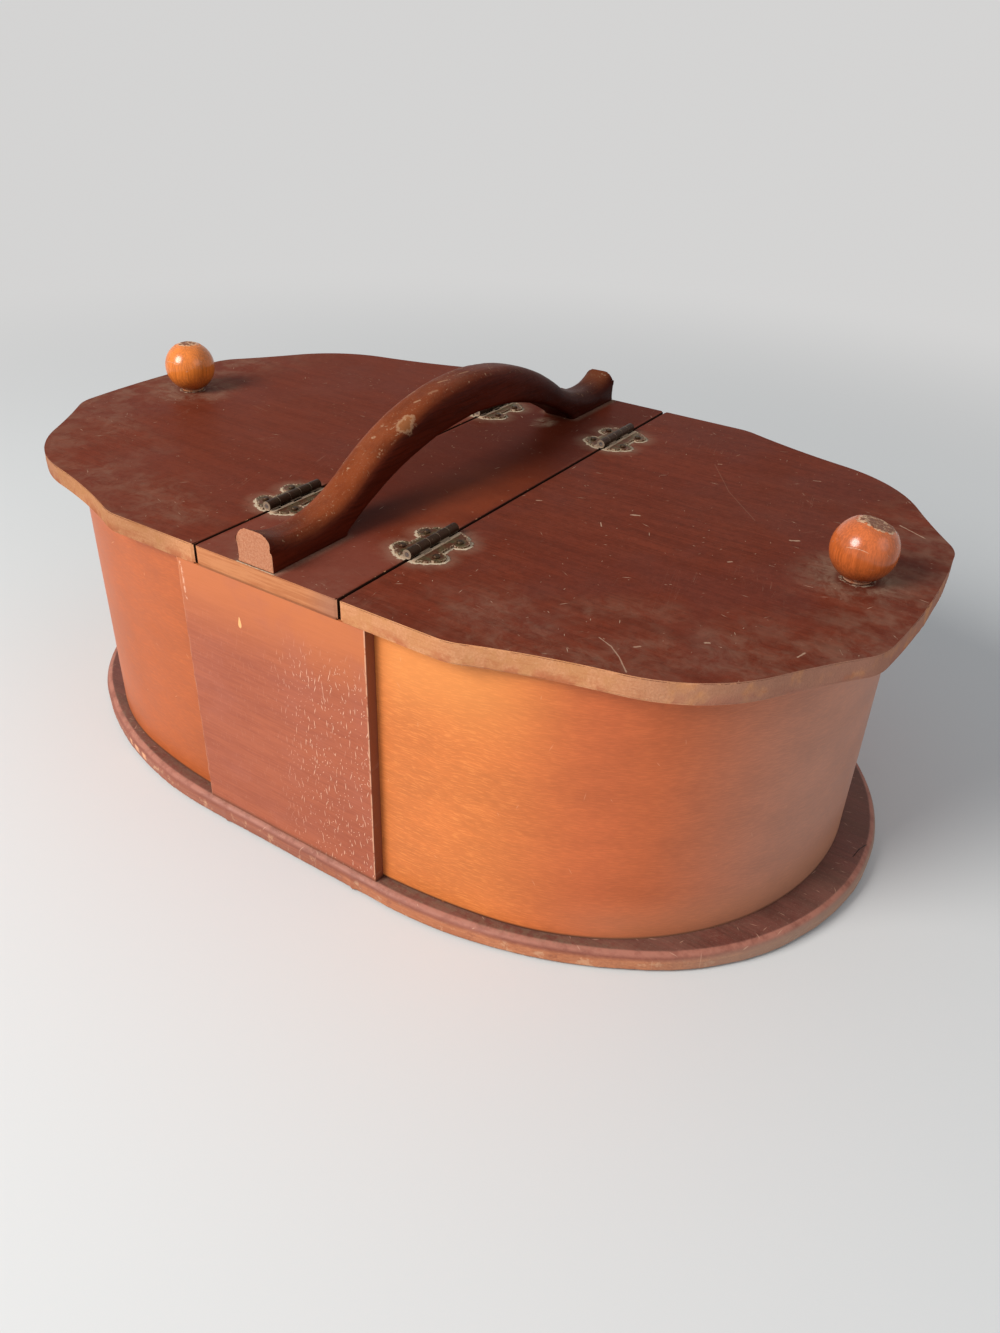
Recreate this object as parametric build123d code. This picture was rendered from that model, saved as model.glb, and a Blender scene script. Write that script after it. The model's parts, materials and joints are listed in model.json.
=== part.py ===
from build123d import *
from math import asin, atan2, cos, degrees, radians, sin, sqrt
import os

# Oval wooden sewing carrier: two bent-wood end walls on an oval base, a fixed centre board
# with an arched carrying handle, and two scalloped lids that swing up on small rolled hinges.
#
# Frame: millimetres, +Z up, origin under the middle of the base, +X towards the right lid,
# -Y towards the front panel.

# --- Base board: an oval of straight sides, shoulder arcs and round ends -----------------
BASE_LENGTH = 427.0
BASE_WIDTH = 266.0
BASE_FLAT = 99.0              # straight stretch in the middle of each long side
BASE_END_RADIUS = 120.5
BASE_THICKNESS = 9.5
BASE_TOP_ROUND = 4.0
BASE_BOTTOM_ROUND = 2.0

# --- Bent walls: one strip round each end, meeting in the middle of the long sides -------
WALL_LENGTH = 394.0
WALL_WIDTH = 251.6
WALL_FLAT = 74.0
WALL_END_RADIUS = 121.9
WALL_THICKNESS = 4.0
WALL_HEIGHT = 121.0
WALL_SEAM_GAP = 0.4

# --- Panels over the two wall seams, and the glued blocks behind them --------------------
PANEL_WIDTH = 97.0
PANEL_THICKNESS = 4.7
PANEL_EDGE_ROUND = 0.6
BLOCK_WIDTH = 40.0
BLOCK_THICKNESS = 10.0
BLOCK_CHAMFER = 2.0

# --- Top boards: the fixed centre board and the two lids ---------------------------------
TOP_THICKNESS = 8.5
TOP_HALF_WIDTH = 131.0        # from the middle to the straight stretch of the long edges
HINGE_LINE = 36.5             # from the middle to each hinge pin
HINGE_GAP = 1.2               # slot between the centre board and a lid
TOP_EDGE_ROUND = 1.2
UNDER_EDGE_CHAMFER = 0.8

# A lid's edge from the front of the hinge line to the point of its round end: a straight
# stretch, then arcs of (radius, turn in degrees); a negative turn is a hollow. The boards were
# sawn by hand, and the left one came out a little longer.
LID_STRAIGHT = {"left": 45.0, "right": 42.0}
LID_SCALLOPS = [(25.0, 22.0), (308.0, -10.0), (66.0, 46.0), (344.0, -6.0), (22.0, 32.0)]

# --- Handle ------------------------------------------------------------------------------
HANDLE_SHIFT = -4.0           # it stands a little to the left of the middle
HANDLE_WIDTH = 18.5
HANDLE_LENGTH = 260.0
HANDLE_RISE = 43.5            # top of the arch above the centre board
HANDLE_DIP_HEIGHT = 10.0      # lowest point of the top, over each foot
HANDLE_DIP_AT = 112.0
HANDLE_CROWN_RADIUS = 140.0
HANDLE_TOE_RADIUS = 32.0      # the top turns up again towards each end
ARCH_HALF_SPAN = 88.0
ARCH_RISE = 25.5
HANDLE_TOP_ROUND = 7.6
HANDLE_ARCH_ROUND = 2.5
HANDLE_SCREWS_AT = (96.0, 107.0)

# --- Ball knobs --------------------------------------------------------------------------
KNOB_AT = 181.0
KNOB_RADIUS = 12.7
KNOB_CENTRE_HEIGHT = 12.6
KNOB_FOOT_RADIUS = 5.5
KNOB_TOP_FLAT_RADIUS = 3.8

# --- Hinges: rolled sheet leaves on a wire pin -------------------------------------------
HINGES_AT = 75.5              # from the middle to each hinge, along the hinge line
HINGE_LENGTH = 31.0
LEAF_THICKNESS = 0.9
ROLL_RADIUS = 2.0
PIN_RADIUS = 1.0
PIN_CLEARANCE = 0.05          # radial, in the lid's knuckles
PIN_RISE = 2.3                # pin axis above the top boards
KNUCKLES = 5
KNUCKLE_GAP = 0.25
KNUCKLE_NOTCH = 2.5           # a leaf is cut back this far past the other leaf's knuckles
LEAF_BAR_WIDTH = 7.5
LEAF_BAR_LENGTH = 25.0
LEAF_LOBES = [(2.7, 12.3, 3.2), (5.9, 11.4, 2.7), (8.4, 7.8, 3.8)]   # x, y, radius
LEAF_NAIL_AT = (8.2, 7.8)

# --- Nails and screws --------------------------------------------------------------------
NAIL_RADIUS = 0.7
NAIL_LENGTH = 6.5
NAIL_HEAD_RADIUS = 1.5
NAIL_HEAD_HEIGHT = 0.7
SCREW_RADIUS = 1.8
SCREW_HEAD_RADIUS = 3.6
SCREW_HEAD_HEIGHT = 2.0
HANDLE_SCREW_BITE = 6.5
KNOB_SCREW_BITE = 12.0
BASE_SCREW_BITE = 16.0
BASE_SCREW_SINK = 0.3         # depth of the screw heads below the underside
BASE_SCREWS_AT = 10.0         # each side of the middle, in the two seam blocks
HOLE_CLEARANCE = 0.05

WALL_FOOT = BASE_THICKNESS
WALL_TOP = WALL_FOOT + WALL_HEIGHT
TOP = WALL_TOP + TOP_THICKNESS
LID_START = HINGE_LINE + HINGE_GAP / 2
BOARD_HALF_WIDTH = HINGE_LINE - HINGE_GAP / 2
BLOCK_MIDDLE = WALL_WIDTH / 2 - WALL_THICKNESS - BLOCK_THICKNESS / 2
SIDES = {"left": -1, "right": 1}
ENDS = {"front": -1, "back": 1}


def oval(length, width, flat, end_radius):
    """Flat oval face: straight middles, shoulder arcs and end arcs, all tangent."""
    end_centre = length / 2 - end_radius
    reach = end_centre - flat / 2
    shoulder = (reach**2 + (width / 2) ** 2 - end_radius**2) / (width - 2 * end_radius)
    split = degrees(atan2(shoulder - width / 2, reach))
    quarter = [
        Line((0, -width / 2), (flat / 2, -width / 2)),
        CenterArc((flat / 2, shoulder - width / 2), shoulder, -90, 90 - split),
        CenterArc((end_centre, 0), end_radius, -split, split),
    ]
    half = quarter + [mirror(edge, about=Plane.XZ) for edge in quarter]
    return make_face(half + [mirror(edge, about=Plane.YZ) for edge in half])


def across(radius, length):
    """Cylinder along Y, centred on the origin."""
    return Rot(90, 0, 0) * Cylinder(radius, length)


def peg(radius, low, high):
    """Upright cylinder between two heights."""
    return Pos(0, 0, (low + high) / 2) * Cylinder(radius, high - low)


def pan_screw(bite):
    """Screw that points up from z = 0, with its round head below."""
    head = Pos(0, 0, -SCREW_HEAD_HEIGHT / 2) * Cylinder(SCREW_HEAD_RADIUS, SCREW_HEAD_HEIGHT)
    head = chamfer(head.edges().group_by(Axis.Z)[0], SCREW_HEAD_HEIGHT * 0.6)
    return head + peg(SCREW_RADIUS, 0, bite)


def sunk_screw(bite, spare=0.0):
    """Countersunk screw that points up from z = 0; spare widens it into its own hole."""
    head = Pos(0, 0, SCREW_HEAD_HEIGHT / 2) * Cone(
        SCREW_HEAD_RADIUS + spare, SCREW_RADIUS + spare, SCREW_HEAD_HEIGHT
    )
    return head + peg(SCREW_RADIUS + spare, SCREW_HEAD_HEIGHT, bite)


def hinge_nail():
    """Small crowned nail that points down from the top of a hinge leaf at z = 0."""
    head = peg(NAIL_HEAD_RADIUS, 0, NAIL_HEAD_HEIGHT)
    head = chamfer(head.edges().group_by(Axis.Z)[-1], NAIL_HEAD_HEIGHT * 0.7)
    return head + peg(NAIL_RADIUS, -NAIL_LENGTH, 0)


def hinge_nail_spots(side, board):
    """Places of the nails of both hinges of one side, in the lid's or the board's leaves."""
    toward = -side if board else side
    along, out = LEAF_NAIL_AT[1], LEAF_NAIL_AT[0]
    return [
        (side * HINGE_LINE + toward * out, end * HINGES_AT + step * along)
        for end in ENDS.values()
        for step in (-1, 1)
    ]


# --- Box ---------------------------------------------------------------------------------
def base_board():
    board = extrude(oval(BASE_LENGTH, BASE_WIDTH, BASE_FLAT, BASE_END_RADIUS), BASE_THICKNESS)
    board = fillet(board.edges().group_by(Axis.Z)[-1], BASE_TOP_ROUND)
    board = fillet(board.edges().group_by(Axis.Z)[0], BASE_BOTTOM_ROUND)
    for x, y in base_screw_spots():
        board -= Pos(x, y, BASE_SCREW_SINK) * sunk_screw(BASE_THICKNESS, HOLE_CLEARANCE)
        board -= Pos(x, y, 0) * peg(SCREW_HEAD_RADIUS + HOLE_CLEARANCE, -1, BASE_SCREW_SINK)
    return board


def base_screw_spots():
    return [(x * BASE_SCREWS_AT, end * BLOCK_MIDDLE) for x in (-1, 1) for end in ENDS.values()]


def wall_outline(inset=0.0):
    return oval(
        WALL_LENGTH - 2 * inset, WALL_WIDTH - 2 * inset, WALL_FLAT, WALL_END_RADIUS - inset
    )


def end_wall(side):
    """Thin strip bent round one end of the box."""
    strip = extrude(wall_outline() - wall_outline(WALL_THICKNESS), WALL_HEIGHT)
    half = Box(WALL_LENGTH, WALL_WIDTH + 2, WALL_HEIGHT, align=(Align.MIN, Align.CENTER, Align.MIN))
    half = Pos(WALL_SEAM_GAP / 2, 0, 0) * half
    if side < 0:
        half = mirror(half, about=Plane.YZ)
    return Pos(0, 0, WALL_FOOT) * (strip & half)


def seam_panel(end):
    """Flat panel outside a seam of the walls, hollowed to sit on their curve."""
    block = extrude(Rectangle(PANEL_WIDTH, PANEL_THICKNESS + 4), WALL_HEIGHT)
    block = Pos(0, -(WALL_WIDTH / 2 + (PANEL_THICKNESS - 4) / 2), 0) * block
    outer = block.edges().filter_by(Axis.Z).group_by(Axis.Y)[0]
    block = fillet(outer, PANEL_EDGE_ROUND)
    panel = Pos(0, 0, WALL_FOOT) * (block - extrude(wall_outline(), WALL_HEIGHT))
    return panel if end < 0 else mirror(panel, about=Plane.XZ)


def seam_block(end):
    """Upright block inside a seam: the wall ends are glued to it, and it carries the board."""
    block = Box(BLOCK_WIDTH, BLOCK_THICKNESS, WALL_HEIGHT)
    block = chamfer(block.edges().filter_by(Axis.Z).group_by(Axis.Y)[-1], BLOCK_CHAMFER)
    block = Pos(0, -BLOCK_MIDDLE, WALL_FOOT + WALL_HEIGHT / 2) * block
    for x in (-1, 1):
        hole = peg(SCREW_RADIUS + HOLE_CLEARANCE, 0, BASE_THICKNESS + BASE_SCREW_BITE)
        block -= Pos(x * BASE_SCREWS_AT, -BLOCK_MIDDLE, 0) * hole
    return block if end < 0 else mirror(block, about=Plane.XZ)


def base_screws():
    screw = sunk_screw(BASE_THICKNESS + BASE_SCREW_BITE - 1)
    return [Pos(x, y, BASE_SCREW_SINK) * screw for x, y in base_screw_spots()]


# --- Top ---------------------------------------------------------------------------------
def ease(board):
    """Round off the worn top edges of a flat board, and ease its bottom edges."""
    board = fillet(board.edges().group_by(Axis.Z)[-1], TOP_EDGE_ROUND)
    return chamfer(board.edges().group_by(Axis.Z)[0], UNDER_EDGE_CHAMFER)


def nail_holes(side, board):
    hole = peg(NAIL_RADIUS + HOLE_CLEARANCE, TOP - NAIL_LENGTH, TOP + 1)
    return [Pos(x, y, 0) * hole for x, y in hinge_nail_spots(side, board)]


def centre_board():
    board = Box(2 * BOARD_HALF_WIDTH, 2 * TOP_HALF_WIDTH, TOP_THICKNESS)
    board = ease(Pos(0, 0, WALL_TOP + TOP_THICKNESS / 2) * board)
    for side in SIDES.values():
        board -= nail_holes(side, board=True)
    for x, y in handle_screw_spots():
        board -= Pos(x, y, 0) * peg(SCREW_RADIUS + HOLE_CLEARANCE, WALL_TOP - 1, TOP + 1)
    return board


def lid_outline(straight):
    """Outline of a lid on +X, scalloped on its free edge."""
    edges = [Line((LID_START, -TOP_HALF_WIDTH), (LID_START + straight, -TOP_HALF_WIDTH))]
    heading = 0.0
    for radius, turn in LID_SCALLOPS:
        tangent = (cos(radians(heading)), sin(radians(heading)))
        edges.append(JernArc(edges[-1] @ 1, tangent, radius, turn))
        heading += turn
    shoulder = edges[-1] @ 1
    tip_radius = -shoulder.Y / cos(radians(heading))
    tip_centre = (shoulder.X - tip_radius * sin(radians(heading)), 0)
    edges.append(CenterArc(tip_centre, tip_radius, heading - 90, 90 - heading))
    edges += [mirror(edge, about=Plane.XZ) for edge in edges]
    edges.append(Line((LID_START, -TOP_HALF_WIDTH), (LID_START, TOP_HALF_WIDTH)))
    return make_face(edges)


def lid(side_name):
    side = SIDES[side_name]
    outline = lid_outline(LID_STRAIGHT[side_name])
    board = ease(Pos(0, 0, WALL_TOP) * extrude(outline, TOP_THICKNESS))
    if side < 0:
        board = mirror(board, about=Plane.YZ)
    board -= nail_holes(side, board=False)
    hole = peg(SCREW_RADIUS + HOLE_CLEARANCE, WALL_TOP - 1, TOP + 1)
    return board - Pos(side * KNOB_AT, 0, 0) * hole


# --- Handle ------------------------------------------------------------------------------
def handle_side():
    """Side view of the handle above the centre board, in local (Y, Z)."""
    half = HANDLE_LENGTH / 2
    fall = HANDLE_RISE - HANDLE_DIP_HEIGHT
    both = (HANDLE_DIP_AT**2 + fall**2) / (2 * fall)
    sweep = degrees(atan2(HANDLE_DIP_AT, both - fall))
    crown_centre = (0, HANDLE_RISE - HANDLE_CROWN_RADIUS)
    dip_radius = both - HANDLE_CROWN_RADIUS
    toe_turn = degrees(asin((half - HANDLE_DIP_AT) / HANDLE_TOE_RADIUS))
    dip_centre = (HANDLE_DIP_AT, HANDLE_DIP_HEIGHT + dip_radius)
    toe_centre = (HANDLE_DIP_AT, HANDLE_DIP_HEIGHT + HANDLE_TOE_RADIUS)
    top = [
        CenterArc(crown_centre, HANDLE_CROWN_RADIUS, 90 - sweep, sweep),
        CenterArc(dip_centre, dip_radius, -90 - sweep, sweep),
        CenterArc(toe_centre, HANDLE_TOE_RADIUS, -90, toe_turn),
    ]
    toe = top[-1] @ 1
    right = top + [Line(toe, (half, 0)), Line((half, 0), (ARCH_HALF_SPAN, 0))]
    arch = ThreePointArc((-ARCH_HALF_SPAN, 0), (0, ARCH_RISE), (ARCH_HALF_SPAN, 0))
    return make_face(right + [mirror(edge, about=Plane.YZ) for edge in right] + [arch])


def handle_screw_spots():
    return [(HANDLE_SHIFT, end * y) for end in ENDS.values() for y in HANDLE_SCREWS_AT]


def side_curves(bar):
    """Curved edges of the handle's two side faces."""
    flanks = bar.faces().filter_by(Axis.X).sort_by(SortBy.AREA)[-2:]
    return [edge for face in flanks for edge in face.edges().filter_by(GeomType.CIRCLE)]


def handle():
    """Sawn arch with a rounded top and a flat foot at each end."""
    bar = extrude(Plane.YZ * handle_side(), HANDLE_WIDTH / 2, both=True)
    tops = [edge for edge in side_curves(bar) if edge.length < 2 * ARCH_HALF_SPAN]
    bar = fillet(tops, HANDLE_TOP_ROUND)
    arches = [edge for edge in side_curves(bar) if edge.length > 2 * ARCH_HALF_SPAN]
    bar = fillet(arches, HANDLE_ARCH_ROUND)
    bar = Pos(HANDLE_SHIFT, 0, TOP) * bar
    for x, y in handle_screw_spots():
        bar -= Pos(x, y, 0) * peg(SCREW_RADIUS + HOLE_CLEARANCE, TOP - 1, TOP + HANDLE_SCREW_BITE)
    return bar


def handle_screws():
    screw = pan_screw(TOP_THICKNESS + HANDLE_SCREW_BITE - 0.5)
    return [Pos(x, y, WALL_TOP) * screw for x, y in handle_screw_spots()]


# --- Knobs -------------------------------------------------------------------------------
def knob(side):
    """Turned ball with a short foot and a top worn flat."""
    foot_height = KNOB_CENTRE_HEIGHT - sqrt(KNOB_RADIUS**2 - KNOB_FOOT_RADIUS**2)
    top_height = KNOB_CENTRE_HEIGHT + sqrt(KNOB_RADIUS**2 - KNOB_TOP_FLAT_RADIUS**2)
    foot = (KNOB_FOOT_RADIUS, foot_height)
    crown = (KNOB_TOP_FLAT_RADIUS, top_height)
    outline = [
        Polyline((0, top_height), (0, 0), (KNOB_FOOT_RADIUS, 0), foot),
        ThreePointArc(foot, (KNOB_RADIUS, KNOB_CENTRE_HEIGHT), crown),
        Line(crown, (0, top_height)),
    ]
    ball = revolve(Plane.XZ * make_face(outline), Axis.Z)
    ball -= peg(SCREW_RADIUS + HOLE_CLEARANCE, -1, KNOB_SCREW_BITE)
    return Pos(side * KNOB_AT, 0, TOP) * ball


def knob_screw(side):
    return Pos(side * KNOB_AT, 0, WALL_TOP) * pan_screw(TOP_THICKNESS + KNOB_SCREW_BITE - 0.5)


# --- Hinges, drawn at the right front hinge line with the lid on +X ----------------------
def knuckle_spans(first):
    """Spans along Y of every other knuckle, from the given one."""
    pitch = (HINGE_LENGTH + KNUCKLE_GAP) / KNUCKLES
    start = -HINGE_LENGTH / 2
    return [
        (start + n * pitch, start + (n + 1) * pitch - KNUCKLE_GAP)
        for n in range(first, KNUCKLES, 2)
    ]


def leaf(own, other, bore):
    """Scalloped leaf on +X with its rolled knuckles round the origin's Y axis."""
    shape = Pos(LEAF_BAR_WIDTH / 2, 0) * Rectangle(LEAF_BAR_WIDTH, LEAF_BAR_LENGTH)
    for x, y, radius in LEAF_LOBES:
        for end in ENDS.values():
            shape += Pos(x, end * y) * Circle(radius)
    shape &= Pos(HINGE_LENGTH / 2, 0) * Rectangle(HINGE_LENGTH, 2 * HINGE_LENGTH)
    plate = Pos(0, 0, -PIN_RISE) * extrude(shape, LEAF_THICKNESS)
    for low, high in other:
        notch = Box(2 * KNUCKLE_NOTCH, high - low + 2 * KNUCKLE_GAP, 2 * PIN_RISE)
        plate -= Pos(0, (low + high) / 2, -PIN_RISE) * notch
    for low, high in own:
        roll = across(ROLL_RADIUS, high - low) - across(bore, high - low + 1)
        plate += Pos(0, (low + high) / 2, 0) * roll
    for end in ENDS.values():
        x, y = LEAF_NAIL_AT
        plate -= Pos(x, end * y, 0) * peg(NAIL_RADIUS + HOLE_CLEARANCE, -PIN_RISE - 1, 0)
    return plate


def place_hinge_piece(piece, side, end):
    turned = piece if side > 0 else Rot(0, 0, 180) * piece
    return Pos(side * HINGE_LINE, end * HINGES_AT, TOP + PIN_RISE) * turned


def hinge_nails(side, board):
    height = TOP + LEAF_THICKNESS
    return [Pos(x, y, height) * hinge_nail() for x, y in hinge_nail_spots(side, board)]


def build():
    """All the pieces, by name."""
    pieces = {
        "base_board": base_board(),
        "base_screws": base_screws(),
        "centre_board": centre_board(),
        "handle": handle(),
        "handle_screws": handle_screws(),
        "board_hinge_nails": hinge_nails(-1, board=True) + hinge_nails(1, board=True),
    }
    for name, end in ENDS.items():
        pieces[f"{name}_panel"] = seam_panel(end)
        pieces[f"{name}_seam_block"] = seam_block(end)
    board_knuckles, lid_knuckles = knuckle_spans(0), knuckle_spans(1)
    lid_leaf = leaf(lid_knuckles, board_knuckles, PIN_RADIUS + PIN_CLEARANCE)
    board_leaf = Rot(0, 0, 180) * leaf(board_knuckles, lid_knuckles, PIN_RADIUS)
    pin = across(PIN_RADIUS, HINGE_LENGTH)
    for side_name, side in SIDES.items():
        pieces[f"{side_name}_wall"] = end_wall(side)
        pieces[f"{side_name}_lid"] = lid(side_name)
        pieces[f"{side_name}_knob"] = knob(side)
        pieces[f"{side_name}_knob_screw"] = knob_screw(side)
        pieces[f"{side_name}_lid_hinge_nails"] = hinge_nails(side, board=False)
        for end_name, end in ENDS.items():
            hinge = f"{side_name}_{end_name}_hinge"
            pieces[f"{hinge}_board_leaf"] = place_hinge_piece(board_leaf, side, end)
            pieces[f"{hinge}_lid_leaf"] = place_hinge_piece(lid_leaf, side, end)
            pieces[f"{hinge}_pin"] = place_hinge_piece(pin, side, end)
    return pieces


def write(pieces):
    os.makedirs("parts", exist_ok=True)
    for name, shape in pieces.items():
        if isinstance(shape, list):
            shape = Compound(children=[piece.solid() for piece in shape])
        export_step(shape, f"parts/{name}.step")


if __name__ == "__main__":
    write(build())
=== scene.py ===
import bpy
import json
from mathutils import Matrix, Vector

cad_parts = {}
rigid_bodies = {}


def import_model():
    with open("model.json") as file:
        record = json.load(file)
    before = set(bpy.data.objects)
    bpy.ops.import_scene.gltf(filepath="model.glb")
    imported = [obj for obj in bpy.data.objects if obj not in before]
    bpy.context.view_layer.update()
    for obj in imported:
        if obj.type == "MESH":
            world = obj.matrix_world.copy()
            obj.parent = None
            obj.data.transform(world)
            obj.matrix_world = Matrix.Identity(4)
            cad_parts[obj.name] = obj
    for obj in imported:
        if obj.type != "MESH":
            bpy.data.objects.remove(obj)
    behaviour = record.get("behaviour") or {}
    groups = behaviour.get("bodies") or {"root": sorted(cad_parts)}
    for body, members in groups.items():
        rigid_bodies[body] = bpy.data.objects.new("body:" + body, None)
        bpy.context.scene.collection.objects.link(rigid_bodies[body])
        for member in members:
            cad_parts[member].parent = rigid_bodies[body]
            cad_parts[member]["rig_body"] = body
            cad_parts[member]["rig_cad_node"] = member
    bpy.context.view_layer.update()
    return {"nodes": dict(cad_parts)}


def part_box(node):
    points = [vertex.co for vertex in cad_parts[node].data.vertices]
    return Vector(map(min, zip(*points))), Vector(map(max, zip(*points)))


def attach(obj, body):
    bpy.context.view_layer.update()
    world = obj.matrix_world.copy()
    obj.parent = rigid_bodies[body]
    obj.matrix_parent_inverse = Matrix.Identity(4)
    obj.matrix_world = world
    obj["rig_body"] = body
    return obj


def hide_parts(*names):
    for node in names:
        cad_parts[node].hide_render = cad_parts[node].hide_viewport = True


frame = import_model()

import json
from math import asin, atan2, ceil, cos, degrees, hypot, radians, sin

import bpy
from mathutils import Quaternion, Vector

bl_info = {
    "name": "Sewing Carrier",
    "version": (1, 0, 0),
    "blender": (4, 5, 0),
    "location": "3D View > Sidebar > Carrier",
    "description": "Dresses an oval wooden sewing carrier with two hinged lids",
    "category": "Object",
}

MM = 0.001
SIDES = {"left": -1, "right": 1}
ENDS = {"front": -1, "back": 1}

# --- Places read from the frame ----------------------------------------------------------
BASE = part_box("base_board")
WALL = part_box("right_wall")
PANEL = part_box("front_panel")
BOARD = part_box("centre_board")
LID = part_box("right_lid")
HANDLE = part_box("handle")
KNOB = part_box("right_knob")
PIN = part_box("right_front_hinge_pin")

TOP = LID[1].z
WALL_TOP = LID[0].z
HINGE_LINE = (PIN[0].x + PIN[1].x) / 2
HINGE_AT = -(PIN[0].y + PIN[1].y) / 2
HINGE_HALF = (PIN[1].y - PIN[0].y) / 2
KNOB_AT = (KNOB[0].x + KNOB[1].x) / 2
KNOB_RADIUS = (KNOB[1].x - KNOB[0].x) / 2
HANDLE_MIDDLE = (HANDLE[0].x + HANDLE[1].x) / 2
HANDLE_HALF_WIDTH = (HANDLE[1].x - HANDLE[0].x) / 2
HANDLE_END = HANDLE[1].y

# --- Outlines: (radius, turn in degrees) along an edge; a negative turn is a hollow ------
LID_STRAIGHT = {"left": 45 * MM, "right": 42 * MM}
LID_SCALLOPS = [
    (25 * MM, 22),
    (308 * MM, -10),
    (66 * MM, 46),
    (344 * MM, -6),
    (22 * MM, 32),
]
BASE_FLAT = 99 * MM
BASE_END_RADIUS = 120.5 * MM
WALL_FLAT = 74 * MM
WALL_END_RADIUS = 121.9 * MM
WALL_THICKNESS = 4 * MM
WALL_LAYERS = 22
CORNER_RADIUS = 1.5 * MM
ARC_STEP = 1.3 * MM
RUN_STEP = 1.8 * MM

# --- Rounds along a board's edges: (radius under, radius on top, steps in each) ----------
BASE_ROUNDS = (2 * MM, 4 * MM, 5)
CENTRE_ROUNDS = (0.4 * MM, 0.5 * MM, 3)
LID_ROUNDS = (0.6 * MM, 0.6 * MM, 3)

# --- Handle's side view: (along, up) of the dip over each foot and of the arch below it --
HANDLE_DIP = (112 * MM, 10 * MM)
HANDLE_ARCH = (88 * MM, 25.5 * MM)
HANDLE_CROWN_RADIUS = 140 * MM
HANDLE_TOE_RADIUS = 32 * MM
HANDLE_TOP_ROUND = 6.4 * MM
HANDLE_ARCH_ROUND = 2.5 * MM

# --- Hinge leaf: its bar and lobes (out from the pin, along it, radius) ------------------
LEAF_BAR = (7.5 * MM, 12.5 * MM)
LEAF_LOBES = [
    (2.7 * MM, 12.3 * MM, 3.2 * MM),
    (5.9 * MM, 11.4 * MM, 2.7 * MM),
    (8.4 * MM, 7.8 * MM, 3.8 * MM),
]
SHEET = 0.9 * MM
ROLL_RADIUS = 2.0 * MM
STAMPED_RIM = 0.5 * MM
STAMPED_DEPTH = 0.25 * MM

# --- Knobs: ball centre above the lid, and the worn top (direction, depth) of each -------
KNOB_RISE = 12.6 * MM
KNOB_WORN = {
    "left": ((0.0, 0.0, 1.0), 0.6 * MM),
    "right": ((0.232, 0.149, 0.961), 1.8 * MM),
}

# --- Marks of use: points in millimetres (x, y on top; x, z on the panel), width, strength
LID_SCRATCHES = [
    ([(180.5, 60.1), (192.5, 53.4)], 0.5 * MM, 0.75),
    ([(123.5, -97.3), (129.5, -100.0), (135.0, -104.5), (141.1, -111.2)], 0.4 * MM, 0.6),
    ([(89.5, 75.8), (108.0, 49.0), (129.3, 26.6)], 0.3 * MM, 0.14),
    ([(85.0, -0.6), (88.0, 0.9)], 0.9 * MM, 0.95),
    ([(148.2, 16.9), (151.4, 18.8)], 0.8 * MM, 0.9),
    ([(78.5, -15.4), (80.6, -18.4)], 0.4 * MM, 0.8),
    ([(45.4, -12.3), (47.2, -11.2)], 0.6 * MM, 0.7),
    ([(135.8, -17.0), (136.8, -15.8)], 0.6 * MM, 0.8),
    ([(154.0, -78.9), (155.2, -78.0)], 0.7 * MM, 0.8),
    ([(136.0, -95.7), (137.3, -94.2)], 0.7 * MM, 0.6),
    ([(182.6, -68.9), (183.6, -64.8)], 0.5 * MM, 0.7),
    ([(134.0, 85.8), (136.8, 86.9)], 0.5 * MM, 0.7),
    ([(90.6, 77.2), (91.9, 78.0)], 0.6 * MM, 0.6),
]
HANDLE_CHIPS = [
    ([(-10.0, -31.0), (-9.4, -26.5)], 0.8 * MM, 0.7),
    ([(-4.4, -16.5), (-2.8, -12.0)], 0.7 * MM, 0.6),
    ([(-2.9, -3.0), (-2.0, 2.5)], 0.6 * MM, 0.5),
    ([(-1.6, -26.5), (-0.4, -22.5)], 1.1 * MM, 0.35),
    ([(-2.6, -35.0), (-1.6, -33.0)], 0.9 * MM, 0.6),
]
BASE_CHIPS = [
    ([(-115.6, -121.0), (-114.9, -121.4)], 1.6 * MM, 0.8),
    ([(-109.6, -123.7), (-107.6, -124.3)], 2.2 * MM, 0.9),
    ([(-101.9, -125.7), (-99.9, -126.1)], 1.8 * MM, 0.8),
    ([(-93.0, -125.6), (-88.5, -126.2)], 1.3 * MM, 0.6),
]
PANEL_SCRATCHES = [
    ([(-46.6, 128.5), (-46.0, 122.0), (-45.7, 112.5)], 0.8 * MM, 0.6),
    ([(25.5, 100.0), (26.6, 88.0)], 0.35 * MM, 0.35),
]
BASE_CRACK = [(206.9, 2.9), (207.6, 9.0), (209.4, 14.5)]

# --- Middles of single marks: (x, y), and (x, z) of the panel's chip ---------------------
BOARD_WARM_AT = (22 * MM, -30 * MM)
BOARD_DUST_AT = (-4.8 * MM, 75.3 * MM)
HANDLE_PATCH_AT = (HANDLE_MIDDLE + 6 * MM, -47 * MM)
PANEL_CHIP_AT = (-16 * MM, 111.5 * MM)

# --- Screws: middles of those that stand in groups, in millimetres, and the driver slot --
SCREWS_AT = {
    "handle_screws": [(-4.0, y) for y in (-107.0, -96.0, 96.0, 107.0)],
    "base_screws": [(x, y) for x in (-10.0, 10.0) for y in (-116.8, 116.8)],
}
DRIVER_SLOT = (9 * MM, 1.1 * MM, 1.8 * MM)

# --- Stage: a floor that fades out between two distances, and lamps (place, size, tint) --
FLOOR_SIZE = 24
FLOOR_FADE = (0.32, 1.1)
LAMPS_AIM = (0, 0, 0.07)
LAMPS = {
    "key": ((-0.55, -1.25, 1.05), 0.8, (1.0, 0.985, 0.96)),
    "fill": ((1.4, -0.1, 0.9), 1.0, (0.88, 0.93, 1.0)),
}
ROOM_TINT = (0.92, 0.955, 1.0)

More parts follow.
